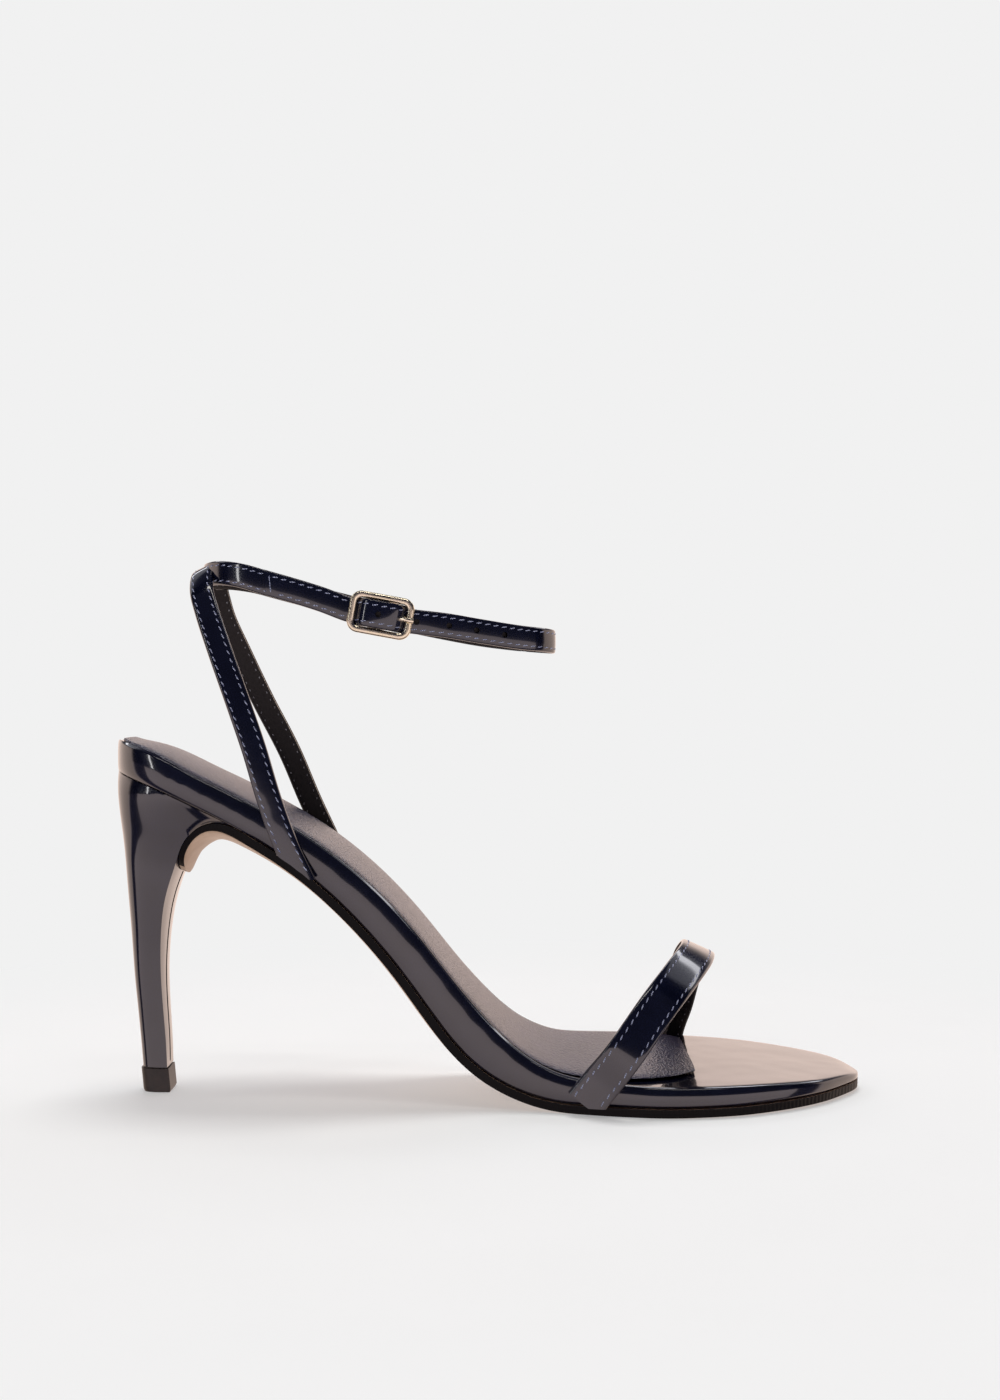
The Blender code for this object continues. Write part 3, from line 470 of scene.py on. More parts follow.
def wrap_grid(name, grid):
    """Blank laid out flat as a grid and wrapped into place: rows along it, a closed ring across."""
    deselect()
    rows, across = grid.shape[:2]
    bpy.ops.mesh.primitive_grid_add(x_subdivisions=across, y_subdivisions=rows - 1, size=1.0)
    made = bpy.context.object
    made.name = name
    wrapped = np.concatenate([grid, grid[:, :1]], axis=1)
    made.data.vertices.foreach_set("co", wrapped.reshape(-1).astype(np.float32))
    bpy.ops.object.mode_set(mode="EDIT")
    bpy.ops.mesh.select_all(action="SELECT")
    bpy.ops.mesh.remove_doubles(threshold=0.000002)
    bpy.ops.mesh.select_all(action="DESELECT")
    bpy.ops.mesh.select_non_manifold(extend=False, use_wire=False, use_multi_face=False,
                                     use_non_contiguous=False, use_verts=False)
    bpy.ops.mesh.edge_face_add()
    bpy.ops.mesh.select_all(action="SELECT")
    bpy.ops.mesh.normals_make_consistent(inside=False)
    bpy.ops.object.mode_set(mode="OBJECT")
    made.location = (0.0, 0.0, 0.0)
    bpy.ops.object.shade_smooth_by_angle(angle=WRAPPED_ANGLE)
    return made


def strap_grid(strap, section):
    """Grid of places along a strap for each point of its section."""
    return np.stack([strap.points(across, out) for across, out in section], axis=1)


def copy_of_node(node, name, levels):
    """Smooth copy of a node: its corners merged, its triangles paired and its skin refined."""
    made = bpy.data.objects.new(name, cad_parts[node].data.copy())
    made.data.materials.clear()
    bpy.context.scene.collection.objects.link(made)
    pick(made)
    bpy.ops.object.mode_set(mode="EDIT")
    bpy.ops.mesh.select_all(action="SELECT")
    bpy.ops.mesh.customdata_custom_splitnormals_clear()
    bpy.ops.mesh.remove_doubles(threshold=0.00001)
    bpy.ops.mesh.tris_convert_to_quads(face_threshold=math.radians(70), shape_threshold=math.radians(120))
    bpy.ops.mesh.select_mode(type="EDGE")
    bpy.ops.mesh.select_all(action="DESELECT")
    bpy.ops.mesh.edges_select_sharp(sharpness=CRISP_ANGLE)
    bpy.ops.transform.edge_crease(value=1.0)
    bpy.ops.object.mode_set(mode="OBJECT")
    if levels:
        smooth = made.modifiers.new("smooth", "SUBSURF")
        smooth.levels = levels
        smooth.render_levels = levels
        apply_modifiers(made)
    bpy.ops.object.shade_smooth_by_angle(angle=SMOOTH_ANGLE)
    return made


def finish(made, slot, *nodes):
    """Puts a finished piece on the body and hides the solids it stands for. Its slot is not used."""
    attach(made, "root")
    if nodes:
        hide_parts(*nodes)
    return made


def dress(made, material):
    """Gives an object one material."""
    made.data.materials.clear()
    made.data.materials.append(material)
    return made


def linear(colour):
    """Linear colour with full alpha from an sRGB hex value."""
    shares = [int(colour[i:i + 2], 16) / 255 for i in (1, 3, 5)]
    return tuple([c / 12.92 if c <= 0.04045 else ((c + 0.055) / 1.055) ** 2.4 for c in shares] + [1.0])


def set_inputs(tree, node, values):
    """Sets a node's inputs, each to a value or to the output that feeds it."""
    for key, value in values.items():
        if isinstance(value, bpy.types.NodeSocket):
            tree.links.new(value, node.inputs[key])
        else:
            node.inputs[key].default_value = value


def add_node(tree, kind, settings=None, **inputs):
    """Node with its settings and its inputs. An input is named, or numbered as n0, n1 and so on."""
    made = tree.nodes.new(kind)
    for key, value in (settings or {}).items():
        setattr(made, key, value)
    for key, value in inputs.items():
        place = int(key[1:]) if key[0] == "n" and key[1:].isdigit() else key.replace("_", " ").title()
        set_inputs(tree, made, {place: value})
    return made


def new_material(name):
    """Empty material with its tree, its shader and its object coordinates."""
    made = bpy.data.materials.new(name)
    made.use_nodes = True
    tree = made.node_tree
    shader = tree.nodes["Principled BSDF"]
    place = tree.nodes.new("ShaderNodeTexCoord").outputs["Object"]
    return made, tree, shader, place


def ramp(tree, source, stops):
    """Colour ramp fed by a value, with its stops as place and colour."""
    made = add_node(tree, "ShaderNodeValToRGB", n0=source)
    band = made.color_ramp
    while len(band.elements) > 1:
        band.elements.remove(band.elements[-1])
    band.elements[0].position = stops[0][0]
    band.elements[0].color = stops[0][1]
    for place, colour in stops[1:]:
        band.elements.new(place).color = colour
    return made.outputs["Color"]


def mixed(tree, way, factor, first, second):
    """Mix of two colours: MIX goes from one to the other, MULTIPLY darkens one by the other."""
    made = add_node(tree, "ShaderNodeMix", {"data_type": "RGBA", "blend_type": way},
                    n0=factor, n6=first, n7=second)
    return made.outputs[2]


def grey(value):
    """Opaque grey of one linear value."""
    return (value, value, value, 1.0)


def noise(tree, place, size, detail, roughness=0.5):
    """Value of a noise pattern whose features are that many millimetres wide."""
    made = add_node(tree, "ShaderNodeTexNoise", n0=place, scale=1000.0 / size, detail=detail,
                    roughness=roughness)
    return made.outputs["Fac"]


def waves(tree, place, way, pitch, distortion=0.0):
    """Value of a wave pattern whose bands lie that many millimetres apart."""
    turn = 10.0 * math.sqrt(3.0) if way == "DIAGONAL" else 20.0
    made = add_node(tree, "ShaderNodeTexWave", {"bands_direction": way}, n0=place,
                    scale=2000.0 * math.pi / (turn * pitch), distortion=distortion, detail=2.0)
    return made.outputs["Fac"]


def bump(tree, height, strength, distance, **inputs):
    """Normal of a relief whose full height is that many metres."""
    made = add_node(tree, "ShaderNodeBump", height=height, strength=strength, distance=distance, **inputs)
    return made.outputs["Normal"]


def patent_leather(name, colour, wave):
    """Patent leather: polyurethane film flowed over leather, mirror bright with a slow wave in it."""
    made, tree, shader, place = new_material(name)
    base = tuple(colour)
    light = tuple(min(1.0, c * 1.6 + 0.001) for c in base[:3]) + (1.0,)
    # The film's slow wave is about 14 mm long, over the grain of 1 mm that shows through it
    swell = bump(tree, noise(tree, place, 14.3, 1.0, 0.4), 1.0, wave)
    set_inputs(tree, shader, {
        "Base Color": ramp(tree, noise(tree, place, 8.33, 2.0), [(0.35, base), (0.75, light)]),
        "Normal": bump(tree, noise(tree, place, 1.11, 2.0), 0.5, 0.000006, normal=swell),
        "Coat Normal": swell,
        "Roughness": 0.16,
        "Coat Weight": 1.0,
        "Coat Roughness": 0.02,
        "Coat IOR": 1.55,
    })
    return made


def grained_nappa(name, colour, dark):
    """Nappa sock lining: drum-dyed soft leather with a fine closed grain and a satin finish."""
    made, tree, shader, place = new_material(name)
    # Pores lie 0.7 mm apart, folds of about 1.4 mm cross them, and the dye clouds over about 17 mm
    cells = add_node(tree, "ShaderNodeTexVoronoi", n0=place, scale=1000.0 / 0.714)
    fine = noise(tree, place, 1.43, 3.0, 0.6)
    pores = bump(tree, cells.outputs["Distance"], 1.0, 0.00022)
    folds = bump(tree, fine, 1.0, 0.00022, normal=pores)
    tint = ramp(tree, noise(tree, place, 16.7, 3.0, 0.6), [(0.30, linear(dark)), (0.70, colour)])
    speck = ramp(tree, fine, [(0.35, grey(0.72)), (0.65, grey(1.0))])
    set_inputs(tree, shader, {
        "Base Color": mixed(tree, "MULTIPLY", 1.0, tint, speck),
        "Normal": folds,
        "Coat Normal": folds,
        "Roughness": 0.36,
        "Coat Weight": 0.60,
        "Coat Roughness": 0.24,
    })
    return made


def sole_leather(name, colour, dark):
    """Sole leather: vegetable-tanned bend, buffed smooth, with faint cloudy fibre marks."""
    made, tree, shader, place = new_material(name)
    cloud = noise(tree, place, 11.1, 6.0, 0.65)
    set_inputs(tree, shader, {
        "Base Color": ramp(tree, cloud, [(0.30, linear(dark)), (0.70, colour)]),
        "Normal": bump(tree, noise(tree, place, 0.667, 4.0, 0.6), 0.5, 0.00005),
        "Roughness": 0.45,
        "Coat Weight": 0.2,
        "Coat Roughness": 0.25,
    })
    return made


def edge_ink(name, colour):
    """Edge ink: layers of black acrylic over cut leather, ribbed where the patent is lasted under."""
    made, tree, shader, place = new_material(name)
    spread = noise(tree, place, 3.33, 3.0)
    set_inputs(tree, shader, {
        "Base Color": ramp(tree, spread, [(0.3, colour), (0.8, linear(INK_BLOOM))]),
        "Normal": bump(tree, waves(tree, place, "X", 1.208, 2.0), 0.7, 0.00010),
        "Roughness": 0.42,
        "Specular IOR Level": 0.12,
    })
    return made


def strap_lining(name, colour, dark):
    """Strap lining: thin split leather dyed brown-black, matt, with a short nap."""
    made, tree, shader, place = new_material(name)
    nap = noise(tree, place, 0.77, 4.0, 0.7)
    set_inputs(tree, shader, {
        "Base Color": ramp(tree, nap, [(0.3, linear(dark)), (0.7, colour)]),
        "Normal": bump(tree, nap, 0.8, 0.00006),
        "Roughness": 0.62,
    })
    return made


def cut_edge_with_painted_highlight(name, colour):
    """Cut edge of the lining: raw split leather, sealed with clear dressing, painted pale cream so that it
    also stands for the highlight line along the straps' edges.
    """
    made, tree, shader, place = new_material(name)
    fibre = noise(tree, place, 0.556, 3.0)
    set_inputs(tree, shader, {
        "Base Color": ramp(tree, fibre, [(0.3, linear(EDGE_FIBRE)), (0.6, colour)]),
        "Roughness": 0.5,
    })
    return made


def bonded_thread(name, colour, dark):
    """Bonded polyester thread: plies twisted every 0.4 mm, with a silky gloss."""
    made, tree, shader, place = new_material(name)
    twist = waves(tree, place, "DIAGONAL", 0.403)
    set_inputs(tree, shader, {
        "Base Color": ramp(tree, twist, [(0.2, linear(dark)), (0.7, colour)]),
        "Normal": bump(tree, twist, 0.4, 0.00004),
        "Roughness": 0.45,
    })
    return made


def gilt_metal(name, colour):
    """Light gold plate: zinc casting, tumbled, polished and flashed with pale gold."""
    made, tree, shader, place = new_material(name)
    wear = noise(tree, place, 2.0, 3.0)
    set_inputs(tree, shader, {
        "Base Color": ramp(tree, wear, [(0.35, colour), (0.75, linear(GILT_LIGHT))]),
        "Roughness": ramp(tree, wear, [(0.3, grey(0.20)), (0.8, grey(0.32))]),
        "Metallic": 1.0,
    })
    return made


def tip_plastic(name, colour):
    """Top piece: injection-moulded polyurethane, dense and slightly waxy, with a ground edge."""
    made, tree, shader, place = new_material(name)
    mottle = noise(tree, place, 2.5, 3.0)
    set_inputs(tree, shader, {
        "Base Color": ramp(tree, mottle, [(0.3, colour), (0.8, linear(TIP_MOTTLE))]),
        "Normal": bump(tree, waves(tree, place, "Z", 0.449, 1.5), 0.4, 0.00003),
        "Roughness": 0.38,
    })
    return made


def length_property(name, description, value, low, high, digits=4):
    """Length setting in metres, between a least and a greatest value."""
    return bpy.props.FloatProperty(
        name=name, description=description, default=value, min=low, max=high, precision=digits,
        unit="LENGTH")


class SandalSizes(bpy.types.PropertyGroup):
    """Sizes of the sandal's small work."""

    stitch_pitch: length_property(
        "Stitch pitch", "Distance from one stitch to the next", 0.0026, 0.001, 0.006)
    stitch_length: length_property(
        "Stitch length", "Visible length of a stitch", 0.0018, 0.0005, 0.005)
    bobbin_length: length_property(
        "Bobbin stitch length", "Visible length of a stitch on the lining", 0.0007, 0.0003, 0.005)
    thread: length_property(
        "Thread", "Thickness of the thread", 0.00038, 0.0002, 0.001, 5)
    strap_inset: length_property(
        "Strap inset", "Distance of the stitches from a narrow strap's edge", 0.0013, 0.0005, 0.003)
    toe_inset: length_property(
        "Toe strap inset", "Distance of the stitches from the toe strap's edge", 0.0018, 0.0005, 0.004)
    hole: length_property(
        "Hole", "Width of a punched hole", 0.0017, 0.001, 0.003)
    film_wave: length_property(
        "Film wave", "Height of the slow wave in the patent film", 0.00022, 0.0, 0.001, 5)


def colour_property(name, description, value):
    """Colour setting, linear inside, from an sRGB hex value."""
    return bpy.props.FloatVectorProperty(
        name=name, description=description, default=linear(value), subtype="COLOR", size=4, min=0.0, max=1.0)


class SandalColours(bpy.types.PropertyGroup):
    """Colours of the sandal."""

    patent: colour_property("Patent", "Navy patent of the board, heel and straps", "#0c0e1e")
    strap_patent: colour_property("Strap patent", "Navy patent of the straps", "#0a0d1f")
    lining: colour_property("Lining", "Lining of the straps", "#1b1517")
    # The cut edge's pale cream is partly the lining's own edge and partly a painted highlight line along the
    # straps' edges
    cut: colour_property("Cut edge", "Cut edge of the lining", "#c9b7a6")
    bobbin: colour_property("Bobbin thread", "Thread on the lining", "#a8a3aa")
    sock: colour_property("Sock", "Nappa of the sock", "#3c3850")
    sole: colour_property("Sole", "Sole leather", "#c3a68f")
    ink: colour_property("Edge ink", "Ink on the sole's edge", "#060507")
    thread: colour_property("Thread", "Thread of the stitches", "#c4c9e2")
    gilt: colour_property("Gilt", "Plate of the buckle and pin", "#fbf0d0")
    tip: colour_property("Top piece", "Moulding of the top piece", "#1a1310")


def sizes():
    """The scene's sandal sizes."""
    return bpy.context.scene.sandal_sizes


def colours():
    """The scene's sandal colours."""
    return bpy.context.scene.sandal_colours


def leather_layers(name, strap, slot, nodes, trim=True):
    """Patent layer over a narrower lining, both following the strap."""
    patent = patent_leather(f"navy_patent_{name}", colours().strap_patent, sizes().film_wave)
    lining = strap_lining(
        f"brown_black_lining_{name.split('_')[0]}", colours().lining, LINING_SHADE)
    top = 0.5 * strap.thickness
    outer = rounded_section(
        strap.width, top, PATENT_FOOT * top, PATENT_ROUND * strap.thickness, PATENT_CROWN)
    inner = [(across * LINING_WIDTH, -out - LINING_SINK * top) for across, out in rounded_section(
        strap.width, top, LINING_TOP * top, LINING_ROUND * strap.thickness, 0.0, 5, 3)]
    made = []
    for suffix, section, material in (("patent", outer, patent), ("lining", inner, lining)):
        grid = strap_grid(strap, section)
        if trim:
            grid = trim_to_board(grid)
        piece = wrap_grid(f"{name}_{suffix}", grid)
        dress(piece, material)
        if suffix == "lining":
            # The lining's side faces are painted pale cream: its cut edge, and a painted highlight line
            # along the strap's edges
            piece.data.materials.append(cut_edge_with_painted_highlight(f"cream_cut_edge_{name}", colours().cut))
            rows, across = grid.shape[:2]
            for face in piece.data.polygons[:(rows - 1) * across]:
                if face.index % across in (0, across - 2):
                    face.material_index = 1
        finish(piece, slot, *nodes)
        made.append(piece)
    return made


def stitch_row(points, outs, lengths, start, end, turn):
    """Matrices of stitches along a line, between two lengths along it."""
    made = []
    run = unit(np.gradient(points, axis=0))
    count = int((end - start) / sizes().stitch_pitch)
    for i in range(count + 1):
        place = start + i * sizes().stitch_pitch
        middle, along, up = [
            Vector([float(np.interp(place, lengths, rows[:, k])) for k in range(3)])
            for rows in (points, run, outs)]
        up = (up - along * up.dot(along)).normalized()
        side = up.cross(along)
        turned = Matrix((along, side, up)).transposed() @ Matrix.Rotation(turn, 3, "Z")
        made.append(Matrix.Translation(middle) @ turned.to_4x4())
    return made


def sew(name, places, material, slot, length):
    """One stitch modelled once and copied along a seam, joined into one piece of thread."""
    deselect()
    bpy.ops.mesh.primitive_uv_sphere_add(segments=8, ring_count=5, radius=0.5)
    first = bpy.context.object
    bpy.ops.object.mode_set(mode="EDIT")
    bpy.ops.transform.rotate(value=0.5 * math.pi, orient_axis="Y", center_override=(0.0, 0.0, 0.0))
    bpy.ops.transform.resize(value=(length, sizes().thread, 0.9 * sizes().thread))
    bpy.ops.object.mode_set(mode="OBJECT")
    bpy.ops.object.shade_smooth()
    copies = []
    for place in places:
        copy = bpy.data.objects.new(name, first.data.copy())
        copy.data.transform(place)
        bpy.context.scene.collection.objects.link(copy)
        copies.append(copy)
    bpy.data.objects.remove(first)
    deselect()
    for copy in copies:
        copy.select_set(True)
    bpy.context.view_layer.objects.active = copies[0]
    bpy.ops.object.join()
    made = bpy.context.object
    made.name = name
    dress(made, material)
    return finish(made, slot)


def seam_along(strap, inset, faces, stop=SEAM_STOP):
    """Stitch places along both edges of a strap, on its outer face (1) or on its lining (-1)."""
    places = []
    half = 0.5 * strap.width - inset
    out = faces * (0.5 * strap.thickness + THREAD_LIFT)
    for across in (-half, half):
        line = strap.points(across, out)
        steps = np.linalg.norm(np.diff(line, axis=0), axis=1)
        lengths = np.concatenate([[0.0], np.cumsum(steps)])
        turn = STITCH_TURN * faces
        places += stitch_row(line, strap.outs * faces, lengths, SEAM_START, lengths[-1] - stop, turn)
    return places


def sew_strap(name, strap, inset, slot, keep, tip=()):
    """Both seams of a strap: pale thread on the patent and short bobbin stitches on the lining."""
    pale = bonded_thread(f"pale_bonded_thread_{name}", colours().thread, THREAD_SHADE)
    dark = bonded_thread(f"grey_bobbin_thread_{name}", colours().bobbin, BOBBIN_SHADE)
    stop = TIP_STOP if tip else SEAM_STOP
    sew(f"{name}_stitches", keep(seam_along(strap, inset, 1, stop)) + list(tip), pale, slot,
        sizes().stitch_length)
    sew(f"{name}_bobbin_stitches", keep(seam_along(strap, inset, -1)), dark, slot, sizes().bobbin_length)


def cross_seam(strap, inset):
    """Places of the stitches across a strap, just short of its tip."""
    half = 0.5 * strap.width - inset
    out = 0.5 * strap.thickness + THREAD_LIFT
    first, last = [Vector(strap.points(across, out)[-1]) for across in (-half, half)]
    back = Vector(strap.centres[-1] - strap.centres[-2]).normalized() * TIP_SEAM
    along = (last - first).normalized()
    up = Vector(strap.outs[-1])
    turned = Matrix((along, up.cross(along), up)).transposed().to_4x4()
    return [Matrix.Translation(first.lerp(last, share) - back) @ turned for share in TIP_STITCHES]


def above_board(places):
    """Places that lie clear above the foot of the board's wall."""
    kept = []
    for place in places:
        x, _, z = place.translation
        if z > np.interp(x, OUTLINE[:, 0], OUTLINE[:, 3]) + FOOT_CLEAR:
            kept.append(place)
    return kept


def punch(strap, piece):
    """Punches the row of round holes, with inked walls, through the patent of the holed end."""
    place = buckle_matrix()
    later = np.arange(len(strap.centres)) > len(strap.centres) // 2
    outer = later & (strap.centres[:, 1] < -0.2 * ANKLE_WIDTH)
    cutters = []
    for along in HOLES:
        target = (place @ Vector((along, 0.0, 0.0))).x
        nearest = np.argmin(np.where(outer, np.abs(strap.centres[:, 0] - target), 1.0))
        level, run, up = [Vector(rows[nearest]) for rows in (strap.levels, strap.run, strap.outs)]
        turned = Matrix((level, run, up)).transposed().to_4x4()
        deselect()
        bpy.ops.mesh.primitive_cylinder_add(
            vertices=24, radius=0.5 * sizes().hole, depth=1.5 * ANKLE_STRAP_THICKNESS)
        cutter = bpy.context.object
        cutter.data.transform(Matrix.Translation(strap.centres[nearest]) @ turned)
        cutters.append(cutter)
    deselect()
    for cutter in cutters:
        cutter.select_set(True)
    bpy.context.view_layer.objects.active = cutters[0]
    bpy.ops.object.join()
    cutter = dress(bpy.context.object, edge_ink("black_hole_ink", colours().ink))
    cut = piece.modifiers.new("holes", "BOOLEAN")
    cut.object = cutter
    cut.solver = "EXACT"
    cut.material_mode = "TRANSFER"
    apply_modifiers(piece)
    bpy.data.objects.remove(cutter)


def wire_grid(points, side, radius, place, turns=16):
    """Grid of rings round a line that lies in a plane square to one side direction."""
    line = np.array(points, float)
    run = unit(np.gradient(line, axis=0))
    side = np.tile(side, (len(line), 1))
    up = np.cross(run, side)
    rings = []
    for angle in np.linspace(0, 2 * math.pi, turns, endpoint=False):
        rings.append(line + radius * (side * math.cos(angle) + up * math.sin(angle)))
    grid = np.stack(rings, axis=1)
    flat = np.hstack([grid.reshape(-1, 3), np.ones((grid.shape[0] * turns, 1))])
    return (flat @ np.array(place).T)[:, :3].reshape(grid.shape)


def breast_line(heel):
    """Places down the middle of the heel's breast, from the heel's low end up to the sole's flap."""
    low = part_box("heel")[0].z
    flap = min(v.co.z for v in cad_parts["outsole"].data.vertices if v.co.x < BREAST_FRONT)
    line = []
    for height in np.linspace(low, flap + SEAM_WIDTH, 48):
        hit, place, _, _ = heel.ray_cast((BREAST_FRONT, 0.0, height), (-1.0, 0.0, 0.0))
        if hit:
            line.append(place)
    if len(line) < 2:
        raise RuntimeError("The heel's breast was not found, so its seam has no line to follow")
    return line


class SANDAL_OT_outsole(bpy.types.Operator):
    """Tan leather outsole with its inked edge"""

    bl_idname = "sandal.outsole"
    bl_label = "Outsole"

    def execute(self, context):
        made = copy_of_node("outsole", "outsole_leather", 2)
        dress(made, sole_leather("buffed_sole_leather", colours().sole, SOLE_CLOUD))
        made.data.materials.append(edge_ink("black_edge_ink", colours().ink))
        toe_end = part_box("outsole")[1].x - INKED_TOE
        for face in made.data.polygons:
            at_toe = face.center.x > toe_end and abs(face.normal.x) > 0.5
            if abs(face.normal.y) > 0.5 or at_toe:
                face.material_index = 1
        finish(made, "sole_leather", "outsole")
        return {"FINISHED"}


class SANDAL_OT_board(bpy.types.Operator):
    """Board wrapped in patent leather"""

    bl_idname = "sandal.board"
    bl_label = "Wrapped board"

    def execute(self, context):
        made = copy_of_node("footbed_board", "board_wrap", 2)
        dress(made, patent_leather("navy_patent_board", colours().patent, sizes().film_wave))
        finish(made, "board_patent", "footbed_board")
        return {"FINISHED"}


class SANDAL_OT_sock(bpy.types.Operator):
    """Grained nappa sock on the board"""

    bl_idname = "sandal.sock"
    bl_label = "Sock"

    def execute(self, context):
        made = copy_of_node("insole_sock", "sock_leather", 2)
        dress(made, grained_nappa("navy_nappa", colours().sock, SOCK_SHADE))
        finish(made, "sock_nappa", "insole_sock")
        return {"FINISHED"}


class SANDAL_OT_heel(bpy.types.Operator):
    """Stiletto heel wrapped in patent leather, with the seam down its breast"""

    bl_idname = "sandal.heel"
    bl_label = "Wrapped heel"

    def execute(self, context):
        made = copy_of_node("heel", "heel_wrap", 2)
        dress(made, patent_leather("navy_patent_heel", colours().patent, sizes().film_wave))
        finish(made, "heel_patent", "heel")
        context.view_layer.update()
        seam = wrap_grid("heel_breast_seam", wire_grid(
            breast_line(made), (0.0, 1.0, 0.0), 0.5 * SEAM_WIDTH, Matrix.Identity(4), turns=8))
        dress(seam, edge_ink("black_seam_ink", colours().ink))
        finish(seam, "heel_patent")
        return {"FINISHED"}


class SANDAL_OT_top_piece(bpy.types.Operator):
    """Moulded tip of the heel"""

    bl_idname = "sandal.top_piece"
    bl_label = "Top piece"

    def execute(self, context):
        made = copy_of_node("top_piece", "heel_tip", 0)
        soft = made.modifiers.new("ground_edge", "BEVEL")
        soft.width = TIP_BEVEL
        soft.segments = 3
        soft.limit_method = "ANGLE"
        apply_modifiers(made)
        bpy.ops.object.shade_smooth_by_angle(angle=math.radians(40))
        dress(made, tip_plastic("moulded_polyurethane_tip", colours().tip))
        finish(made, "top_piece_rubber", "top_piece")
        return {"FINISHED"}


class SANDAL_OT_toe_strap(bpy.types.Operator):
    """Lined and stitched strap over the toes"""

    bl_idname = "sandal.toe_strap"
    bl_label = "Toe strap"

    def execute(self, context):
        strap = held_strap(TOE_STRAP, BALL_WIDTH, TOE_ARCH_HEIGHT, TOE_STRAP_WIDTH)
        leather_layers("toe_strap", strap, "toe_strap_patent", ("toe_strap",))
        sew_strap("toe_strap", strap, sizes().toe_inset, "toe_strap_patent", above_board)
        return {"FINISHED"}


class SANDAL_OT_back_strap(bpy.types.Operator):
    """Lined and stitched strap behind the heel, from one side of the board to the other"""

    bl_idname = "sandal.back_strap"
    bl_label = "Back strap"

    def execute(self, context):
        strap = held_strap(BACK_STRAP, ANKLE_WIDTH, ANKLE_HEIGHT, STRAP_WIDTH)
        leather_layers("back_strap", strap, "ankle_strap_patent", ("ankle_straps",))
        sew_strap("back_strap", strap, sizes().strap_inset, "ankle_strap_patent", above_board)
        return {"FINISHED"}


class SANDAL_OT_ankle_strap(bpy.types.Operator):
    """Lined and stitched strap round the ankle, with its punched holes"""

    bl_idname = "sandal.ankle_strap"
    bl_label = "Ankle strap"

    def execute(self, context):
        strap = ankle_strap()
        pieces = leather_layers(
            "ankle_strap", strap, "ankle_strap_patent", ("ankle_straps",), trim=False)
        punch(strap, pieces[0])
        inset = sizes().strap_inset
        sew_strap("ankle_strap", strap, inset, "ankle_strap_patent", list, cross_seam(strap, inset))
        return {"FINISHED"}


class SANDAL_OT_buckle(bpy.types.Operator):
    """Gilt buckle frame with bevelled edges, its centre bar and its pin"""

    bl_idname = "sandal.buckle"
    bl_label = "Buckle"

    def execute(self, context):
        gilt = gilt_metal("light_gold_plate_frame", colours().gilt)
        deselect()
        bpy.ops.mesh.primitive_plane_add(size=1.0)
        rim = bpy.context.object
        rim.name = "buckle_rim"
        bpy.ops.object.mode_set(mode="EDIT")
        bpy.ops.transform.resize(value=(BUCKLE_LENGTH, BUCKLE_HEIGHT, 1.0))
        bpy.ops.mesh.bevel(offset=BUCKLE_CORNER + 0.5 * BUCKLE_WIRE, segments=10, affect="VERTICES")
        bpy.ops.mesh.inset(thickness=RIM_WIDTH)
        bpy.ops.mesh.delete(type="FACE")
        bpy.ops.mesh.select_all(action="SELECT")
        bpy.ops.mesh.extrude_region_move(
            TRANSFORM_OT_translate={"value": (0.0, 0.0, BUCKLE_WIRE - RIM_STEP)})
        bpy.ops.mesh.inset(thickness=0.26 * RIM_WIDTH, depth=0.0)
        bpy.ops.transform.translate(value=(0.0, 0.0, RIM_STEP))
        bpy.ops.mesh.select_all(action="SELECT")
        bpy.ops.transform.translate(value=(0.0, 0.0, -0.5 * BUCKLE_WIRE))
        bpy.ops.mesh.normals_make_consistent(inside=False)
        bpy.ops.object.mode_set(mode="OBJECT")
        bevel = rim.modifiers.new("bevelled_edges", "BEVEL")
        bevel.width = 0.11 * BUCKLE_WIRE
        bevel.segments = 3
        bevel.limit_method = "ANGLE"
        apply_modifiers(rim)
        bpy.ops.object.shade_smooth_by_angle(angle=math.radians(35))
        rim.matrix_world = buckle_matrix()
        settle(rim)
        dress(rim, gilt)
        finish(rim, "buckle_gilt", "buckle_frame")
        half_height = 0.5 * (BUCKLE_HEIGHT - BUCKLE_WIRE)
        flat = 0.5 * STRAP_WIDTH + GAP
        dip = 0.5 * (half_height + flat)
        line = [(0.0, -half_height, 0.0), (0.0, -dip, -0.7 * BAR_SETBACK), (0.0, -flat, -BAR_SETBACK),
                (0.0, flat, -BAR_SETBACK), (0.0, dip, -0.7 * BAR_SETBACK), (0.0, half_height, 0.0)]
        bar = wrap_grid("buckle_bar", wire_grid(line, (1.0, 0.0, 0.0), 0.5 * BAR_WIRE, buckle_matrix()))
        dress(bar, gilt)
        finish(bar, "buckle_gilt", "buckle_frame")
        pin = wrap_grid("buckle_tongue", wire_grid(
            spline(np.array(pin_points()), PIN_STEP), (0.0, 1.0, 0.0), 0.74 * PIN_WIRE, buckle_matrix()))
        dress(pin, gilt_metal("light_gold_plate_pin", colours().gilt))
        finish(pin, "pin_gilt", "buckle_pin")
        return {"FINISHED"}


def pin_points():
    """Middle line of the pin in the buckle's own plane: round the bar, then out to the front."""
    ring = 0.5 * BAR_WIRE + GAP + 0.5 * PIN_WIRE
    points = []
    for angle in np.linspace(70, 310, 11):
        turn = math.radians(angle)
        points.append((ring * math.cos(turn), 0.0, -BAR_SETBACK + ring * math.sin(turn)))
    rest = 0.5 * BUCKLE_WIRE + GAP + 0.5 * PIN_WIRE
    points.append((BUCKLE_HALF, 0.0, rest))
    points.append((BUCKLE_HALF + 0.6 * BUCKLE_WIRE, 0.0, rest - 0.1 * BUCKLE_WIRE))
    return points


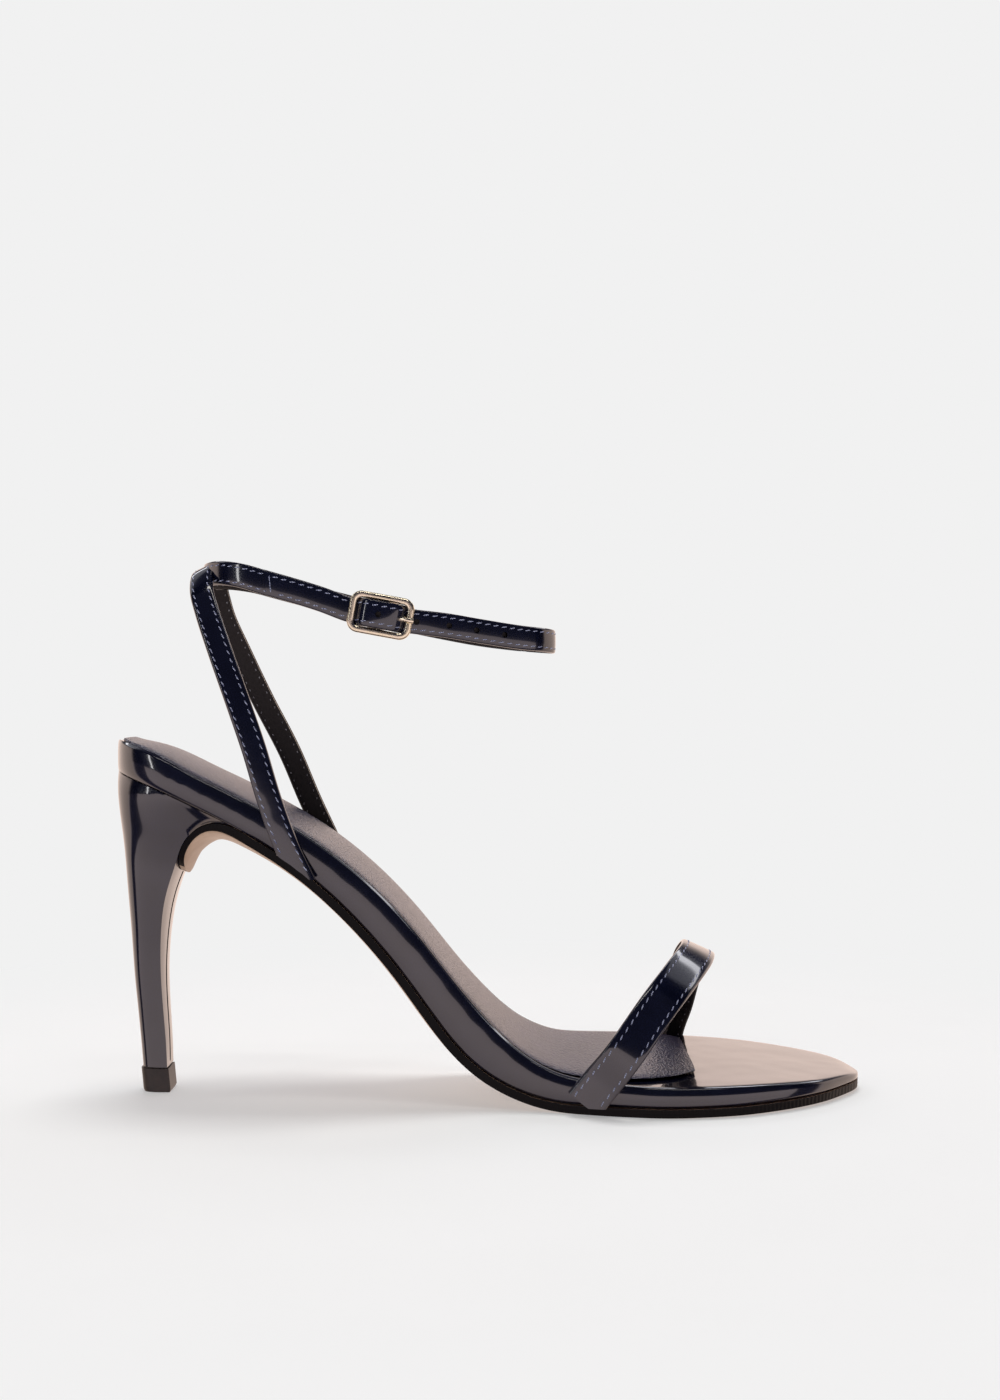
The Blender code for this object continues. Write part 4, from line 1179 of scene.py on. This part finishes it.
class SANDAL_OT_stage(bpy.types.Operator):
    """Pale floor, soft studio light and the camera"""

    bl_idname = "sandal.stage"
    bl_label = "Stage"

    def execute(self, context):
        scene = context.scene
        scene.view_settings.view_transform = "Standard"
        deselect()
        bpy.ops.mesh.primitive_plane_add(size=FLOOR_SPAN, location=SHOE_MIDDLE)
        floor = bpy.context.object
        floor.name = "studio_floor"
        settle(floor)
        floor.visible_glossy = False
        dress(floor, paper_sweep())
        studio_world(scene)
        studio_lamps()
        camera = bpy.data.objects.new("photo_camera", bpy.data.cameras.new("photo_camera"))
        scene.collection.objects.link(camera)
        camera.location = CAMERA_PLACE
        camera.rotation_euler = (0.5 * math.pi, 0.0, 0.0)
        camera.data.lens = CAMERA_LENS
        camera.data.sensor_width = CAMERA_SENSOR
        camera.data.clip_start = CAMERA_NEAR
        scene.camera = camera
        return {"FINISHED"}


def paper_sweep():
    """Seamless background paper: matt near the shoe, washed out by the backlight further away."""
    made, tree, shader, place = new_material("pale_background_paper")
    fibre = noise(tree, place, 25.0, 4.0)
    set_inputs(tree, shader, {
        "Base Color": ramp(tree, fibre, [(0.2, linear(PAPER_TONES[0])), (0.8, linear(PAPER_TONES[1]))]),
        "Roughness": 1.0,
        "Specular IOR Level": 0.0,
        "Emission Color": linear(BACKGROUND),
        "Emission Strength": FLOOR_GLOW,
    })
    middle = add_node(tree, "ShaderNodeVectorMath", {"operation": "SUBTRACT"}, n0=place, n1=SHOE_MIDDLE)
    away = add_node(tree, "ShaderNodeVectorMath", {"operation": "LENGTH"}, n0=middle.outputs[0])
    fade = add_node(tree, "ShaderNodeMapRange", {"interpolation_type": "SMOOTHSTEP"},
                    value=away.outputs["Value"], from_min=WASH_START, from_max=WASH_END)
    wash = add_node(tree, "ShaderNodeEmission", color=linear(BACKGROUND), strength=1.0)
    either = add_node(tree, "ShaderNodeMixShader", n0=fade.outputs["Result"], n1=shader.outputs[0],
                      n2=wash.outputs[0])
    tree.links.new(either.outputs[0], tree.nodes["Material Output"].inputs["Surface"])
    return made


def studio_world(scene):
    """Room round the set: warm behind the shoe with a narrow light above, pale floor in front."""
    world = bpy.data.worlds.new("studio_room")
    scene.world = world
    world.use_nodes = True
    tree = world.node_tree
    tree.nodes.clear()
    way = tree.nodes.new("ShaderNodeTexCoord").outputs["Generated"]
    split = add_node(tree, "ShaderNodeSeparateXYZ", n0=way)
    lift = add_node(tree, "ShaderNodeMapRange", value=split.outputs["Z"], from_min=-1.0)
    depth = add_node(tree, "ShaderNodeMapRange", value=split.outputs["Y"], from_min=-1.0)
    mauve = (1.10, 0.93, 0.94, 1.0)
    night = (0.03, 0.03, 0.05, 1.0)
    strip = (3.4, 3.4, 3.6, 1.0)
    haze = (0.45, 0.45, 0.50, 1.0)
    flag = (0.04, 0.04, 0.06, 1.0)
    front = ramp(tree, lift.outputs["Result"], [
        (0.0, (0.60, 0.50, 0.50, 1.0)),
        (0.40, mauve),
        (0.492, mauve),
        (0.500, night),
        (0.96, night),
        (1.0, (0.12, 0.12, 0.14, 1.0)),
    ])
    back = ramp(tree, lift.outputs["Result"], [
        (0.0, (0.90, 0.68, 0.57, 1.0)),
        (0.48, (1.00, 0.80, 0.70, 1.0)),
        (0.64, (1.16, 0.93, 0.83, 1.0)),
        (0.72, (0.30, 0.26, 0.25, 1.0)),
        (0.76, night),
        (0.792, night),
        (0.798, strip),
        (0.820, strip),
        (0.830, haze),
        (0.900, haze),
        (0.915, night),
        (1.0, night),
    ])
    # Seen round an upright edge of the shoe: pale in front, a dark flag, then pale behind
    side = ramp(tree, depth.outputs["Result"], [
        (0.345, grey(1.0)), (0.355, flag), (0.48, flag), (0.52, grey(1.0))])
    gate = ramp(tree, depth.outputs["Result"], [(0.49, grey(0.0)), (0.54, grey(1.0))])
    flagged = mixed(tree, "MULTIPLY", 1.0, front, side)
    room = add_node(tree, "ShaderNodeBackground", color=mixed(tree, "MIX", gate, flagged, back),
                    strength=1.0)
    paper = add_node(tree, "ShaderNodeBackground", color=linear(BACKGROUND), strength=1.0)
    seen = tree.nodes.new("ShaderNodeLightPath").outputs["Is Camera Ray"]
    either = add_node(tree, "ShaderNodeMixShader", n0=seen, n1=room.outputs[0], n2=paper.outputs[0])
    add_node(tree, "ShaderNodeOutputWorld", n0=either.outputs[0])


def studio_lamps():
    """Area lamps: name, place, aim, width, height, watts, colour, and whether gloss shows them."""
    rows = (
        ("overhead_softbox", (0.14, 0.50, 2.80), (0.10, 0.0, 0.0), 1.10, 0.90, 37.0, "#fcfbf8", False),
        ("overhead_strip", (0.10, -0.60, 2.20), (0.10, 0.0, 0.1), 1.80, 0.16, 7.0, "#fffaf4", True),
        ("left_strip", (-1.60, -0.95, 0.70), (0.0, 0.0, 0.08), 0.10, 1.20, 2.5, "#ffffff", True),
    )
    for name, place, aim, width, height, watts, colour, gloss in rows:
        lamp = bpy.data.lights.new(name, "AREA")
        lamp.shape = "RECTANGLE"
        lamp.size = width
        lamp.size_y = height
        lamp.energy = watts
        lamp.color = linear(colour)[:3]
        made = bpy.data.objects.new(name, lamp)
        bpy.context.scene.collection.objects.link(made)
        made.location = place
        made.rotation_euler = (Vector(aim) - Vector(place)).to_track_quat("-Z", "Y").to_euler()
        made.visible_glossy = gloss


PIECES = (
    SANDAL_OT_outsole,
    SANDAL_OT_board,
    SANDAL_OT_sock,
    SANDAL_OT_heel,
    SANDAL_OT_top_piece,
    SANDAL_OT_toe_strap,
    SANDAL_OT_back_strap,
    SANDAL_OT_ankle_strap,
    SANDAL_OT_buckle,
    SANDAL_OT_stage,
)


class SANDAL_PT_finishes(bpy.types.Panel):
    """Lists the sandal's sizes, colours and pieces"""

    bl_idname = "SANDAL_PT_finishes"
    bl_label = "Heeled Sandal"
    bl_space_type = "VIEW_3D"
    bl_region_type = "UI"
    bl_category = "Sandal"

    def draw(self, context):
        layout = self.layout
        for group in (context.scene.sandal_sizes, context.scene.sandal_colours):
            box = layout.box()
            for name in group.__annotations__:
                box.prop(group, name)
        for piece in PIECES:
            layout.operator(piece.bl_idname)


CLASSES = (SandalSizes, SandalColours) + PIECES + (SANDAL_PT_finishes,)


def register():
    """Registers the classes and the scene's settings."""
    for item in CLASSES:
        bpy.utils.register_class(item)
    bpy.types.Scene.sandal_sizes = bpy.props.PointerProperty(type=SandalSizes)
    bpy.types.Scene.sandal_colours = bpy.props.PointerProperty(type=SandalColours)


def unregister():
    """Removes the scene's settings and the classes."""
    del bpy.types.Scene.sandal_colours
    del bpy.types.Scene.sandal_sizes
    for item in reversed(CLASSES):
        bpy.utils.unregister_class(item)


def main():
    """Builds every piece and the stage."""
    register()
    for piece in PIECES:
        group, name = piece.bl_idname.split(".")
        getattr(getattr(bpy.ops, group), name)()


if __name__ == "__main__":
    main()
